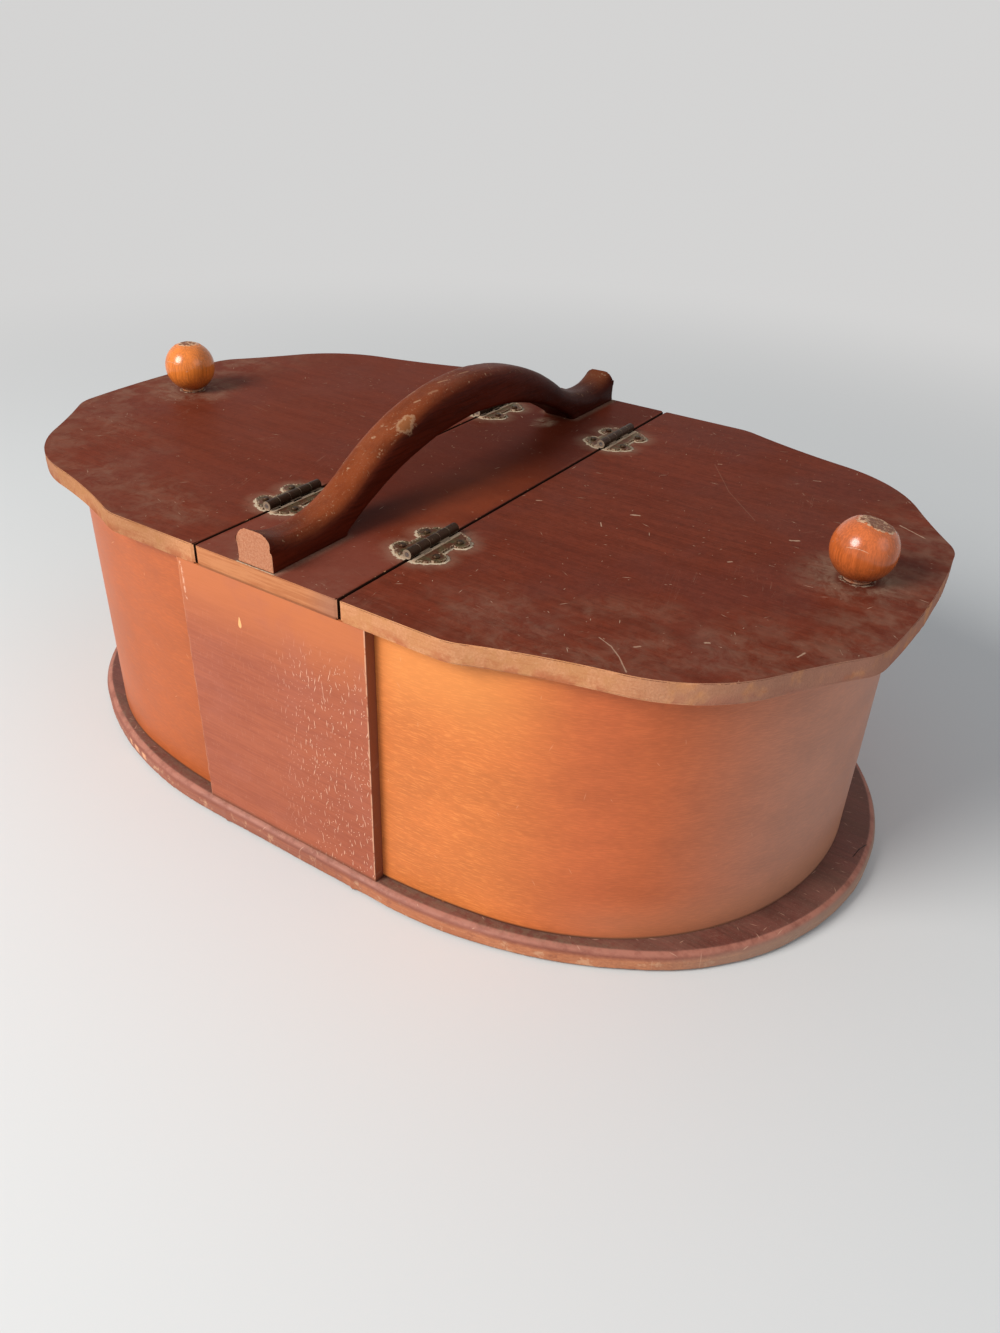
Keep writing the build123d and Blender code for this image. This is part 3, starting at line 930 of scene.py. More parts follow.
def stained_face(w, finish, place, spot):
    """Satin stain of the lids and centre board, with its scratches and a painted handle shadow on
    the centre board.
    """
    grain = w.group(wood_grain(), vector=place, spacing=0.9 * MM)
    face = wood_colour(w, grain, finish.maroon, finish.maroon_dark, 0.25)
    face = w.mix(w.patches(place, 42 * MM, 0.42, 0.68, 0.45, 2), face, TONES["lid_cloud"])
    face = w.toned(face, w.step(w.noise(place, 2.6 * MM, 3), 0.3, 0.7, 0.92, 1.08))
    face = w.mix(w.step(spot["X"], 0, -60 * MM, 0.0, 0.25), face, TONES["lid_left"])
    on_centre = w.step(w.size_of(spot["X"]), HINGE_LINE, HINGE_LINE - 3 * MM)
    face = w.mix(w.all_of(on_centre, 0.5), face, TONES["centre_stain"])
    warm_off = w.oval_distance(spot["X"], spot["Y"], BOARD_WARM_AT, 0.4)
    # Painted shadow: the centre board is darker behind its front part, where the handle's shadow
    # falls.
    behind = w.all_of(on_centre, w.step(spot["Y"], -95 * MM, -60 * MM))
    face = w.toned(face, w.less(1.0, w.all_of(behind, 0.36)))
    front_part = w.all_of(on_centre, w.step(spot["Y"], -75 * MM, -100 * MM), 0.45)
    face = w.mix(front_part, face, TONES["centre_front"])
    uneven = w.step(w.noise(place, 16 * MM, 3), 0.2, 0.65, 0.55, 1.0)
    warm = w.all_of(on_centre, w.step(warm_off, 30 * MM, 4 * MM), uneven)
    face = w.mix(w.all_of(warm, 0.6), face, TONES["centre_warm"])

    flat = w.turned(spot, "XY")
    upset = w.turned(spot, "YX")
    long_marks = marks_on(w, flat, cell=13, length=6, width=0.45, share=0.32, spread=1.0)
    small_marks = marks_on(w, upset, cell=6, length=2.0, width=0.45, share=0.38, spread=1.0)
    where = w.patches(place, 26 * MM, 0.40, 0.60)
    depth = w.step(w.noise(w.scaled(flat, 1, 1, 0), 5 * MM, 1), 0.38, 0.62, 0.08, 0.9)
    hair = w.group(hairlines(), vector=place)["Lines"]
    pale = w.most_of(w.all_of(long_marks, depth, 0.8),
                     w.all_of(small_marks, where, depth, 0.85), w.all_of(hair, 0.16))
    pale = w.most_of(pale, w.drawn(flat, LID_SCRATCHES))
    return w.mix(pale, face, TONES["lid_scratch"]), pale


def settled_dust(w, place, spot, lumps):
    """Dust that lies on the top boards: a thin veil, and beads caked round the hardware."""
    off = w.group(hinge_distance(), vector=place)["Distance"]
    bead_width = w.all_of(lumps, 2.9 * MM)
    bead = w.step(off, bead_width, w.all_of(bead_width, 0.55))
    haze = w.all_of(w.step(off, 8 * MM, 0.0), w.noise(place, 5 * MM, 3, 0.7))
    knob_off = w.flat_distance(KNOB_AT, 0.0, spot)
    cloud = w.step(w.noise(place, 9 * MM, 5, 0.75, 0.6), 0.30, 0.75)
    ring = w.step(w.gap(knob_off, 6.2 * MM), 1.0 * MM, 0.2 * MM)
    ring = w.all_of(ring, w.step(lumps, 0.42, 0.56), 0.6)
    rings = w.step(w.gap(knob_off, 11.5 * MM), 4.5 * MM, 0.5 * MM, 0.0, 1.3)
    halo = w.most_of(w.step(knob_off, 30 * MM, 12 * MM), rings)
    halo = w.all_of(halo, cloud, w.step(knob_off, 6.5 * MM, 9.5 * MM))
    foot_off = w.gap(spot["X"], HANDLE_MIDDLE)
    foot = w.step(foot_off, HANDLE_HALF_WIDTH + 4 * MM, HANDLE_HALF_WIDTH)
    foot = w.all_of(foot, w.step(w.size_of(spot["Y"]), 84 * MM, 92 * MM), lumps)
    toe = w.all_of(w.step(w.size_of(spot["Y"]), HANDLE_END - 0.6 * MM, HANDLE_END),
                   w.step(foot_off, HANDLE_HALF_WIDTH + 0.8 * MM, HANDLE_HALF_WIDTH),
                   w.step(lumps, 0.3, 0.5, 0.4, 0.9))
    tip = w.all_of(w.step(w.size_of(spot["X"]), 150 * MM, 205 * MM),
                   w.patches(place, 9 * MM, 0.38, 0.7))
    film = w.group(dust_film(), vector=place)
    veil = w.most_of(w.all_of(haze, 0.36), w.all_of(halo, 0.36),
                     w.all_of(foot, 0.45), w.all_of(tip, 0.16))
    veil = w.math("ADD", veil, w.total((film["Film"], 0.015), (film["Grit"], 0.04)))
    smudge_off = w.oval_distance(spot["X"], spot["Y"], BOARD_DUST_AT, 0.7)
    smudge = w.all_of(w.step(smudge_off, 8 * MM, 1 * MM), cloud, 0.8)
    nearness = w.total((w.size_of(spot["X"]), 0.45), (spot["Y"], -1.0))
    near_edge = w.all_of(w.step(nearness, 108 * MM, 140 * MM), cloud,
                         w.patches(place, 34 * MM, 0.3, 0.6), 0.17)
    return w.most_of(veil, near_edge, smudge), w.most_of(bead, ring, toe)


def sawn_wood(w, finish, place, spot, facing):
    """Bare sawn edges of the top boards, speckled, stained below, with painted shade in the slots.
    """
    speck = w.noise(place, 0.9 * MM, 3, 0.6)
    sawn = w.mix(w.step(speck, 0.34, 0.66, 0.28, 0.78), finish.bare_dark, finish.bare)
    sawn = w.mix(w.patches(place, 7 * MM, 0.42, 0.62, 0.5), sawn, TONES["sawn_orange"])
    lines = w.noise(w.scaled(place, 0.05, 0.3, 1), 0.9 * MM, 3, 0.6)
    on_front = w.step(w.size_of(facing["Y"]), 0.8, 0.95)
    sawn = w.mix(w.all_of(on_front, w.step(lines, 0.5, 0.66), 0.35), sawn, TONES["sawn_lines"])
    sawn = w.mix(w.all_of(w.step(speck, 0.62, 0.72), 0.2), sawn, TONES["sawn_speck"])
    low = w.step(spot["Z"], WALL_TOP + 5.5 * MM, WALL_TOP + 0.5 * MM)
    stain = w.all_of(low, w.patches(place, 8 * MM, 0.40, 0.62), 0.7)
    sawn = w.mix(stain, sawn, TONES["sawn_stain"])
    dull = w.all_of(w.step(w.size_of(spot["X"]), 120 * MM, 195 * MM),
                    w.patches(place, 10 * MM, 0.22, 0.5), 0.8)
    sawn = w.mix(dull, sawn, TONES["sawn_dull"])
    # Painted shade: the faces in the slots beside the centre board are made nearly black.
    near_slot = w.step(w.gap(w.size_of(spot["X"]), HINGE_LINE), 1.9 * MM, 1.2 * MM)
    slot = w.all_of(near_slot, w.step(w.size_of(facing["X"]), 0.4, 0.8))
    sawn = w.toned(sawn, w.step(spot["X"], -36 * MM, -60 * MM, 1.0, 0.74))
    on_board = w.step(w.size_of(spot["X"]), HINGE_LINE, HINGE_LINE - 1 * MM)
    plain = w.mix(w.step(lines, 0.35, 0.65), TONES["centre_edge"], TONES["centre_edge_dark"])
    plain = w.mix(w.step(spot["X"], 18 * MM, 34 * MM, 0.0, 0.6), plain, TONES["centre_edge_dull"])
    plain = w.mix(w.step(spot["Z"], WALL_TOP + 1.3 * MM, WALL_TOP + 0.5 * MM, 0.0, 0.7),
                  plain, TONES["centre_edge_foot"])
    sawn = w.mix(w.all_of(on_board, 0.85), sawn, plain)
    return w.mix(slot, sawn, TONES["slot_painted_shade"])


def top_board_finish(finish):
    """Dark stain with dust on the faces, and bare sawn wood on the edges."""
    material, w, shader = new_material("top_board_finish", 0.015)
    place = w.place()
    spot = w.parts(place)
    facing = w.facing()
    lumps = w.noise(place, 1.4 * MM, 3, 0.6)
    ragged = w.less(w.noise(place, 2.5 * MM, 4, 0.7), 0.5)

    face, pale = stained_face(w, finish, place, spot)
    veil, caked = settled_dust(w, place, spot, lumps)
    upper = w.step(facing["Z"], 0.6, 0.9)
    colour = w.mix(w.all_of(veil, upper), face, finish.dust)
    caked = w.all_of(caked, upper)
    colour = w.mix(w.all_of(caked, 0.9), colour, TONES["caked_dust"])

    under = w.group(wood_grain(), vector=place, spacing=1.1 * MM)
    under_wood = wood_colour(w, under, finish.inside, darker(finish.inside, 0.55), 0.4)
    colour = w.mix(w.step(facing["Z"], -0.4, -0.8), colour, under_wood)

    upness = w.math("ADD", w.size_of(facing["Z"]), w.all_of(ragged, 0.55))
    side = w.step(upness, 0.72, 0.60)
    colour = w.mix(side, colour, sawn_wood(w, finish, place, spot, facing))
    edge_line = w.all_of(w.step(upness, 0.50, 0.68), w.step(upness, 0.97, 0.80))
    colour = w.mix(w.all_of(edge_line, 0.55), colour, TONES["arris_dirt"])
    chips = w.all_of(w.step(facing["Z"], 0.3, 0.6), w.step(facing["Z"], 0.985, 0.90),
                     w.patches(place, 3.5 * MM, 0.60, 0.68, detail=4))
    colour = w.mix(w.all_of(chips, 0.85), colour, finish.bare)

    dull = w.most_of(veil, caked, w.all_of(side, 0.9), pale)
    satin = w.total((w.noise(place, 18 * MM, 3), 0.16), (1.0, 0.36))
    rough = w.math("ADD", satin, w.all_of(dull, 0.32), clamp=True)
    relief = w.total((under["Streaks"], 0.10), (caked, 0.8), (w.all_of(caked, lumps), 0.8),
                     (pale, -0.2), (w.all_of(side, w.noise(place, 0.9 * MM, 3, 0.7)), 0.5))
    surface(w, shader, colour, rough, relief, 0.35 * MM)
    return material


def wall_finish(finish):
    """Amber varnish over short silky strokes of grain outside, with a painted sheen at the right
    end and painted shade under the lid; unvarnished wood inside.
    """
    material, w, shader = new_material("wall_finish", 0.3)
    place = w.place()
    spot = w.parts(place)
    wave = w.all_of(w.noise(w.scaled(place, 1, 1, 0.6), 20 * MM, 2), 4 * MM)
    strokes_at = w.whole(w.all_of(spot["X"], 0.13), w.all_of(spot["Y"], 0.13),
                         w.math("ADD", spot["Z"], wave))
    strokes = w.noise(strokes_at, 0.5 * MM, 3, 0.6)
    silk = w.noise(w.scaled(strokes_at, 3, 3, 1), 7 * MM, 3, 0.5)
    colour = w.mix(w.step(spot["X"], 85 * MM, 140 * MM), finish.gold, finish.amber)
    # Painted sheen: the right end turns grey-mauve, standing in for a grazing reflection.
    colour = w.mix(w.step(spot["X"], 148 * MM, 198 * MM), colour, finish.bloom)
    colour = w.mix(w.step(spot["X"], 0.0, -1 * MM), colour, finish.amber_left)
    shade = w.all_of(w.step(strokes, 0.34, 0.66, 0.94, 1.06), w.step(silk, 0.3, 0.7, 0.96, 1.04))
    cloudy = w.step(w.noise(w.scaled(place, 0.6, 0.6, 1), 22 * MM, 3), 0.32, 0.68, 0.95, 1.05)
    colour = w.toned(w.toned(colour, shade), cloudy)
    golden = w.all_of(w.step(spot["X"], 40 * MM, 60 * MM), w.step(spot["X"], 130 * MM, 80 * MM))
    high_up = w.step(spot["Z"], 85 * MM, 122 * MM)
    colour = w.mix(w.all_of(golden, high_up, 0.6), colour, TONES["wall_high"])
    gleam = w.all_of(w.step(strokes, 0.52, 0.66), w.math("ADD", w.all_of(golden, 0.27), 0.05))
    colour = w.mix(gleam, colour, TONES["wall_gleam"])

    lumps = w.noise(place, 4 * MM, 3, 0.6)
    # Grime along the foot of the wall, and painted shade in a thin band along its top, under the
    # lid.
    low = w.step(spot["Z"], BASE[1].z + 1.5 * MM, BASE[1].z + 0.3 * MM)
    high = w.step(spot["Z"], WALL[1].z - 1.4 * MM, WALL[1].z, 0.0, 0.6)
    colour = w.mix(w.all_of(w.most_of(low, high), w.step(lumps, 0.1, 0.4)), colour,
                   TONES["wall_grime_and_shade"])
    dusty = w.all_of(w.step(spot["Z"], BASE[1].z + 26 * MM, BASE[1].z + 3 * MM),
                     w.step(spot["X"], 110 * MM, 150 * MM), 0.32)
    colour = w.mix(dusty, colour, TONES["wall_dusty"])
    upright = w.whole(spot["Z"], w.math("ADD", spot["X"], spot["Y"]), 0)
    nicks = marks_on(w, upright, cell=22, length=5, width=0.5, share=0.35, spread=0.8)
    colour = w.mix(w.all_of(nicks, 0.35), colour, TONES["wall_nick"])

    round_wall = w.whole(w.math("ADD", spot["X"], spot["Y"]), spot["Z"], 0)
    grain = w.group(wood_grain(), vector=round_wall, spacing=0.9 * MM)
    bare = wood_colour(w, grain, finish.inside, darker(finish.inside, 0.55), 0.4)
    normal = w.node("ShaderNodeTexCoord").outputs["Normal"]
    level = w.turned(spot, "XY")
    outward = w.vector("DOT_PRODUCT", normal, w.vector("NORMALIZE", level), out="Value")
    inside = w.step(outward, 0.1, -0.1)
    rough = w.total((silk, 0.12), (strokes, 0.10), (1.0, 0.32))
    relief = w.total((strokes, 0.5), (silk, 0.3))
    surface(w, shader, w.mix(inside, colour, bare), w.most_of(rough, w.all_of(inside, 0.8)),
            relief, 0.05 * MM)
    return material


def panel_finish(finish):
    """Red stain with fine level grain, upright scuffs, a chip and dark sides."""
    material, w, shader = new_material("panel_finish", 0.28)
    place = w.place()
    spot = w.parts(place)
    facing = w.facing()
    on_front = w.step(spot["Y"], 0.0, -1 * MM)
    level = w.noise(w.scaled(place, 0.05, 0.05, 1), 0.7 * MM, 4, 0.65)
    broad = w.noise(w.scaled(place, 0.12, 0.12, 1), 9 * MM, 3)
    tone = w.total((level, 0.6), (broad, 0.4))
    colour = w.mix(w.step(tone, 0.38, 0.62), finish.red_dark, finish.red)
    glow = w.step(spot["Z"], 88 * MM, WALL[1].z, 0.0, 0.75)
    colour = w.mix(glow, colour, TONES["panel_high"])
    colour = w.mix(w.patches(place, 26 * MM, 0.46, 0.7, 0.35), colour, TONES["panel_patch"])

    flat = w.turned(spot, "XZ")
    upright = w.turned(spot, "ZX")
    right = w.step(spot["X"], -8 * MM, 26 * MM, 0.10, 1.0)
    tall = marks_on(w, upright, cell=4, length=5.5, width=0.42, share=0.75, spread=0.22)
    shifted = w.vector("ADD", upright, (0.31, 0.17, 0))
    tiny = marks_on(w, shifted, cell=2.3, length=1.4, width=0.42, share=0.5, spread=0.8)
    thick = w.patches(place, 11 * MM, 0.33, 0.50, detail=4)
    scuffs = w.all_of(w.most_of(tall, w.all_of(tiny, 0.9)), right, thick,
                      w.step(spot["Z"], 122 * MM, 96 * MM))
    hair = w.group(hairlines(), vector=flat)["Lines"]
    pale = w.most_of(scuffs, w.all_of(hair, 0.15))
    lines = w.all_of(w.drawn(flat, PANEL_SCRATCHES), on_front,
                     w.patches(place, 1.8 * MM, 0.40, 0.52))
    pale = w.most_of(pale, lines)
    colour = w.mix(pale, colour, TONES["panel_scuff"])

    chip_x = w.less(spot["X"], PANEL_CHIP_AT[0])
    chip_z = w.less(spot["Z"], PANEL_CHIP_AT[1])
    slim = w.step(chip_z, -2 * MM, 3 * MM, 1.0, 2.6)
    chip_off = w.length(w.whole(w.all_of(chip_x, slim), w.all_of(chip_z, 0.45), 0))
    chip = w.all_of(w.step(chip_off, 1.3 * MM, 0.9 * MM), on_front)
    colour = w.mix(chip, colour, TONES["panel_chip"])

    side = w.step(w.size_of(facing["X"]), 0.55, 0.85)
    colour = w.mix(w.all_of(side, 0.92), colour, TONES["panel_side"])
    arris = w.all_of(w.step(w.size_of(spot["X"]), PANEL[1].x - 1.2 * MM, PANEL[1].x - 0.5 * MM),
                     w.step(w.size_of(facing["X"]), 0.85, 0.6),
                     w.patches(place, 4 * MM, 0.36, 0.52, detail=4),
                     w.step(spot["X"], -10 * MM, 10 * MM, 0.25, 0.85))
    colour = w.mix(arris, colour, TONES["panel_arris"])
    foot = w.step(spot["Z"], BASE[1].z + 2.5 * MM, BASE[1].z, 0.0, 0.7)
    colour = w.mix(foot, colour, TONES["panel_foot"])
    rough = w.total((1.0, 0.40), (pale, 0.35), (broad, 0.1))
    relief = w.total((level, 0.35), (pale, -0.8), (chip, -1.0))
    surface(w, shader, colour, rough, relief, 0.13 * MM)
    return material


def base_finish(finish):
    """Dusty stain on the flat, painted shade at the foot of the walls, and a worn rounded edge with
    a painted highlight on its ridge and a painted shadow along its bottom.
    """
    material, w, shader = new_material("base_finish", 0.3)
    place = w.place()
    spot = w.parts(place)
    facing = w.facing()
    grain = w.group(wood_grain(), vector=place, spacing=1.0 * MM)
    film = w.group(dust_film(), vector=place)
    chips = w.noise(place, 6 * MM, 4, 0.7)
    flat = wood_colour(w, grain, TONES["base_flat"], TONES["base_flat_dark"], 0.4)
    flat = w.mix(w.total((film["Film"], 0.12), (film["Grit"], 0.15)), flat, finish.dust)

    upper = wood_colour(w, grain, TONES["base_upper"], TONES["base_upper_dark"], 0.4)
    to_right = w.step(spot["X"], -10 * MM, 110 * MM)
    tan = wood_colour(w, grain, TONES["base_tan"], TONES["base_tan_dark"], 0.5)
    brown = wood_colour(w, grain, TONES["base_brown"], TONES["base_brown_dark"], 0.5)
    lower = w.mix(w.step(w.total((chips, 0.9), (to_right, 0.7)), 0.50, 0.85), brown, tan)
    lower = w.mix(w.step(chips, 0.56, 0.70, 0.0, 0.5), lower, TONES["base_stain"])
    lower = w.mix(w.step(chips, 0.45, 0.34, 0.0, 0.6), lower, TONES["base_bare"])
    edge = w.mix(w.step(spot["Z"], 5.2 * MM, 7.6 * MM), lower, upper)
    colour = w.mix(w.step(facing["Z"], 0.998, 0.86), flat, edge)
    # Partly wear and partly painted highlight: a pinkish line along the top of the rounded edge.
    ridge_wear_and_highlight = w.all_of(w.step(facing["Z"], 0.998, 0.93), w.step(facing["Z"], 0.45, 0.80),
                     w.step(chips, 0.30, 0.60, 0.15, 0.65))
    colour = w.mix(ridge_wear_and_highlight, colour, TONES["base_ridge_wear_and_highlight"])
    end_on = w.step(w.size_of(facing["X"]), 0.45, 0.90, 0.0, 0.75)
    colour = w.mix(w.all_of(end_on, w.step(facing["Z"], 0.95, 0.5)), colour, TONES["base_end"])
    # Painted shadow along the bottom of the base's edge, where it sits on the floor.
    foot = w.step(spot["Z"], 2.0 * MM, 0.5 * MM, 0.0, 0.8)
    colour = w.mix(foot, colour, TONES["base_foot_shadow"])

    off = w.node("ShaderNodeAttribute", attribute_name="wall_distance").outputs["Fac"]
    lumps = w.noise(place, 2.6 * MM, 3, 0.7)
    # Painted shade: a dark line in the crease where the walls stand on the base.
    crease_shade = w.step(off, w.math("ADD", w.all_of(lumps, 1.2 * MM), 1.2 * MM), 0.5 * MM)
    on_top = w.step(facing["Z"], 0.7, 0.95)
    beige = w.all_of(w.step(off, 6.5 * MM, 1.5 * MM), w.step(lumps, 0.35, 0.65), on_top)
    colour = w.mix(w.all_of(beige, 0.42), colour, TONES["base_wall_dust"])
    colour = w.mix(w.all_of(crease_shade, on_top, 0.8), colour, TONES["base_crease_shade"])

    flat_place = w.turned(spot, "XY")
    hair = w.group(hairlines(), vector=place)["Lines"]
    marks = marks_on(w, flat_place, cell=7, length=5, width=0.5, share=0.5, spread=1.0)
    pale = w.most_of(w.all_of(hair, 0.5), w.all_of(marks, 0.45))
    colour = w.mix(pale, colour, TONES["base_scratch"])
    spots = w.all_of(w.drawn(flat_place, BASE_CHIPS), w.step(spot["Z"], 2.6 * MM, 3.6 * MM),
                     w.step(spot["Z"], 6.8 * MM, 5.8 * MM))
    colour = w.mix(spots, colour, TONES["base_chip"])
    crack = w.scratch(flat_place, BASE_CRACK, 0.35 * MM)
    colour = w.mix(w.all_of(crack, 0.9), colour, TONES["base_crack"])
    under = w.step(facing["Z"], -0.6, -0.9)
    under_wood = wood_colour(w, grain, finish.inside, darker(finish.inside, 0.5), 0.5)
    colour = w.mix(under, colour, under_wood)
    rough = w.total((1.0, 0.46), (film["Film"], 0.22), (crease_shade, 0.2))
    relief = w.total((grain["Streaks"], 0.3), (chips, 0.6), (crack, -1.5), (film["Grit"], 0.2))
    surface(w, shader, colour, rough, relief, 0.22 * MM)
    return material


def handle_finish(finish):
    """Dark stain rubbed through on top, bare end grain at both ends, painted shade on the far half
    and a painted highlight on the far toe.
    """
    material, w, shader = new_material("handle_finish", 0.04)
    place = w.place()
    spot = w.parts(place)
    facing = w.facing()
    lengthwise = w.turned(spot, "YXZ")
    grain = w.group(wood_grain(), vector=lengthwise, spacing=0.9 * MM)
    colour = wood_colour(w, grain, finish.handle, darker(finish.handle, 0.5), 0.5)
    top = w.step(facing["Z"], 0.45, 0.97)
    near_slope = w.all_of(w.step(spot["Y"], 25 * MM, -55 * MM, 0.12, 1.0),
                          w.step(spot["Y"], -122 * MM, -92 * MM, 0.25, 1.0))
    uneven = w.noise(w.scaled(place, 1, 0.4, 1), 9 * MM, 4, 0.6)
    rubbed = w.all_of(w.step(facing["Z"], 0.25, 0.90), near_slope,
                      w.step(uneven, 0.2, 0.6, 0.45, 1.0))
    colour = w.mix(w.all_of(rubbed, 0.85), colour, finish.handle_rub)
    worn_off = w.oval_distance(spot["X"], spot["Y"], HANDLE_PATCH_AT, 0.5)
    ragged = w.all_of(w.noise(place, 3 * MM, 4, 0.7), 5 * MM)
    reach = w.math("ADD", worn_off, ragged)
    showing = w.step(facing["Z"], 0.1, 0.35)
    patch = w.all_of(w.step(reach, 5.2 * MM, 4.2 * MM), showing)
    patch_rim = w.all_of(w.step(w.gap(reach, 4.7 * MM), 0.8 * MM, 0.2 * MM), showing)
    colour = w.mix(w.all_of(patch, 0.6), colour, TONES["handle_patch"])
    colour = w.mix(w.all_of(patch_rim, 0.45), colour, TONES["handle_patch_rim"])
    # Painted highlight on the top of the far toe.
    toe = w.all_of(w.step(spot["Y"], 112 * MM, 128 * MM), top)
    colour = w.mix(w.all_of(toe, 0.5), colour, TONES["handle_toe_highlight"])

    film = w.group(dust_film(), vector=place)
    marks = marks_on(w, w.turned(spot, "YX"), cell=3.4, length=2.4, width=0.5, share=0.55,
                     spread=0.9)
    specks = w.all_of(marks, top, w.patches(place, 9 * MM, 0.38, 0.58), 0.7)
    chips = w.all_of(w.step(facing["Z"], 0.55, 0.8), w.step(facing["Z"], 0.98, 0.88),
                     w.patches(place, 3.2 * MM, 0.63, 0.70, detail=4), 0.7)
    drawn = w.all_of(w.drawn(w.turned(spot, "XY"), HANDLE_CHIPS), showing)
    pale = w.most_of(specks, chips, drawn, w.all_of(film["Grit"], top, 0.22))
    colour = w.mix(pale, colour, TONES["handle_chip"])
    colour = w.mix(w.all_of(film["Film"], top, 0.06), colour, finish.dust)

    # Painted shade: the far half of the handle is made darker.
    colour = w.toned(colour, w.step(spot["Y"], 10 * MM, 70 * MM, 1.0, 0.55))
    end = w.all_of(w.step(w.size_of(facing["Y"]), 0.80, 0.92),
                   w.step(w.size_of(spot["Y"]), HANDLE_END - 1.6 * MM, HANDLE_END - 0.9 * MM))
    speck = w.noise(place, 0.8 * MM, 3, 0.7)
    end_wood = w.mix(w.step(speck, 0.3, 0.7), TONES["handle_end_dark"], TONES["handle_end"])
    colour = w.mix(end, colour, end_wood)
    dull = w.most_of(pale, end, w.all_of(patch, 0.6))
    rough = w.total((1.0, 0.36), (dull, 0.3), (w.noise(place, 12 * MM, 2), 0.14))
    relief = w.total((grain["Streaks"], 1.0), (grain["Pores"], -0.6), (pale, -0.8))
    surface(w, shader, colour, rough, relief, 0.1 * MM)
    return material


def knob_finish(finish):
    """Glossy orange varnish, worn to bare wood on top, dusty at the foot, with painted shade
    underneath.
    """
    material, w, shader = new_material("knob_finish", 0.5)
    place = w.place()
    spot = w.parts(place)
    facing = w.facing()
    upright = w.group(wood_grain(), vector=w.turned(spot, "ZYX"), spacing=0.7 * MM)
    on_right = w.step(spot["X"], -1 * MM, 1 * MM)
    varnish = w.mix(on_right, TONES["knob_left"], finish.knob)
    tone = w.total((upright["Streaks"], 0.7), (upright["Bands"], 0.4))
    colour = w.toned(varnish, w.step(tone, 0.4, 0.7, 1.12, 0.72))

    ragged = w.all_of(w.less(w.noise(place, 2.2 * MM, 4, 0.7), 0.5), 1.1 * MM)
    reach = None
    for side, (tilt, depth) in KNOB_WORN.items():
        centre = (SIDES[side] * KNOB_AT, 0.0, TOP + KNOB_RISE)
        off = w.vector("SUBTRACT", place, centre)
        past = w.less(w.vector("DOT_PRODUCT", off, tilt, out="Value"), KNOB_RADIUS - depth)
        reach = w.most_of(reach, past) if reach else past
    level = w.math("ADD", reach, ragged)
    bare = w.step(level, -0.50 * MM, -0.30 * MM)
    rim = w.all_of(w.step(level, -0.70 * MM, -0.50 * MM), w.step(level, -0.15 * MM, -0.35 * MM))
    # Painted shade: the underside of the ball is made darker.
    colour = w.toned(colour, w.step(facing["Z"], -0.1, -0.85, 1.0, 0.55))
    speck = w.noise(place, 1.6 * MM, 4, 0.65)
    pale = w.mix(w.step(speck, 0.30, 0.70), TONES["knob_bare_dark"], TONES["knob_bare"])
    colour = w.mix(bare, colour, pale)
    colour = w.mix(w.all_of(rim, w.step(speck, 0.40, 0.54)), colour, TONES["knob_rim"])
    rise = w.less(spot["Z"], TOP)
    collar = w.all_of(w.step(rise, 1.6 * MM, 0.7 * MM), w.step(speck, 0.3, 0.6, 0.4, 1.0))
    colour = w.mix(w.all_of(collar, 0.75), colour, finish.dust)
    marks = marks_on(w, w.turned(spot, "ZY"), cell=3, length=2, width=0.35, share=0.35,
                     spread=1.0)
    colour = w.mix(w.all_of(marks, w.step(facing["Z"], -0.1, 0.5), 0.5), colour, TONES["knob_mark"])
    dull = w.most_of(bare, collar)
    rough = w.total((1.0, 0.17), (dull, 0.45), (w.noise(place, 5 * MM, 3), 0.10))
    relief = w.total((w.all_of(speck, bare), 0.4), (bare, -0.6), (marks, -0.3),
                     (upright["Streaks"], 0.1))
    surface(w, shader, colour, rough, relief, 0.2 * MM)
    return material


def inner_finish(finish):
    """Plain unvarnished wood, with grain that runs upright."""
    material, w, shader = new_material("inner_finish", 0.3)
    place = w.place()
    spot = w.parts(place)
    grain = w.group(wood_grain(), vector=w.turned(spot, "ZXY"), spacing=1.0 * MM)
    colour = wood_colour(w, grain, finish.inside, darker(finish.inside, 0.5), 0.5)
    surface(w, shader, colour, 0.75, grain["Streaks"], 0.1 * MM)
    return material


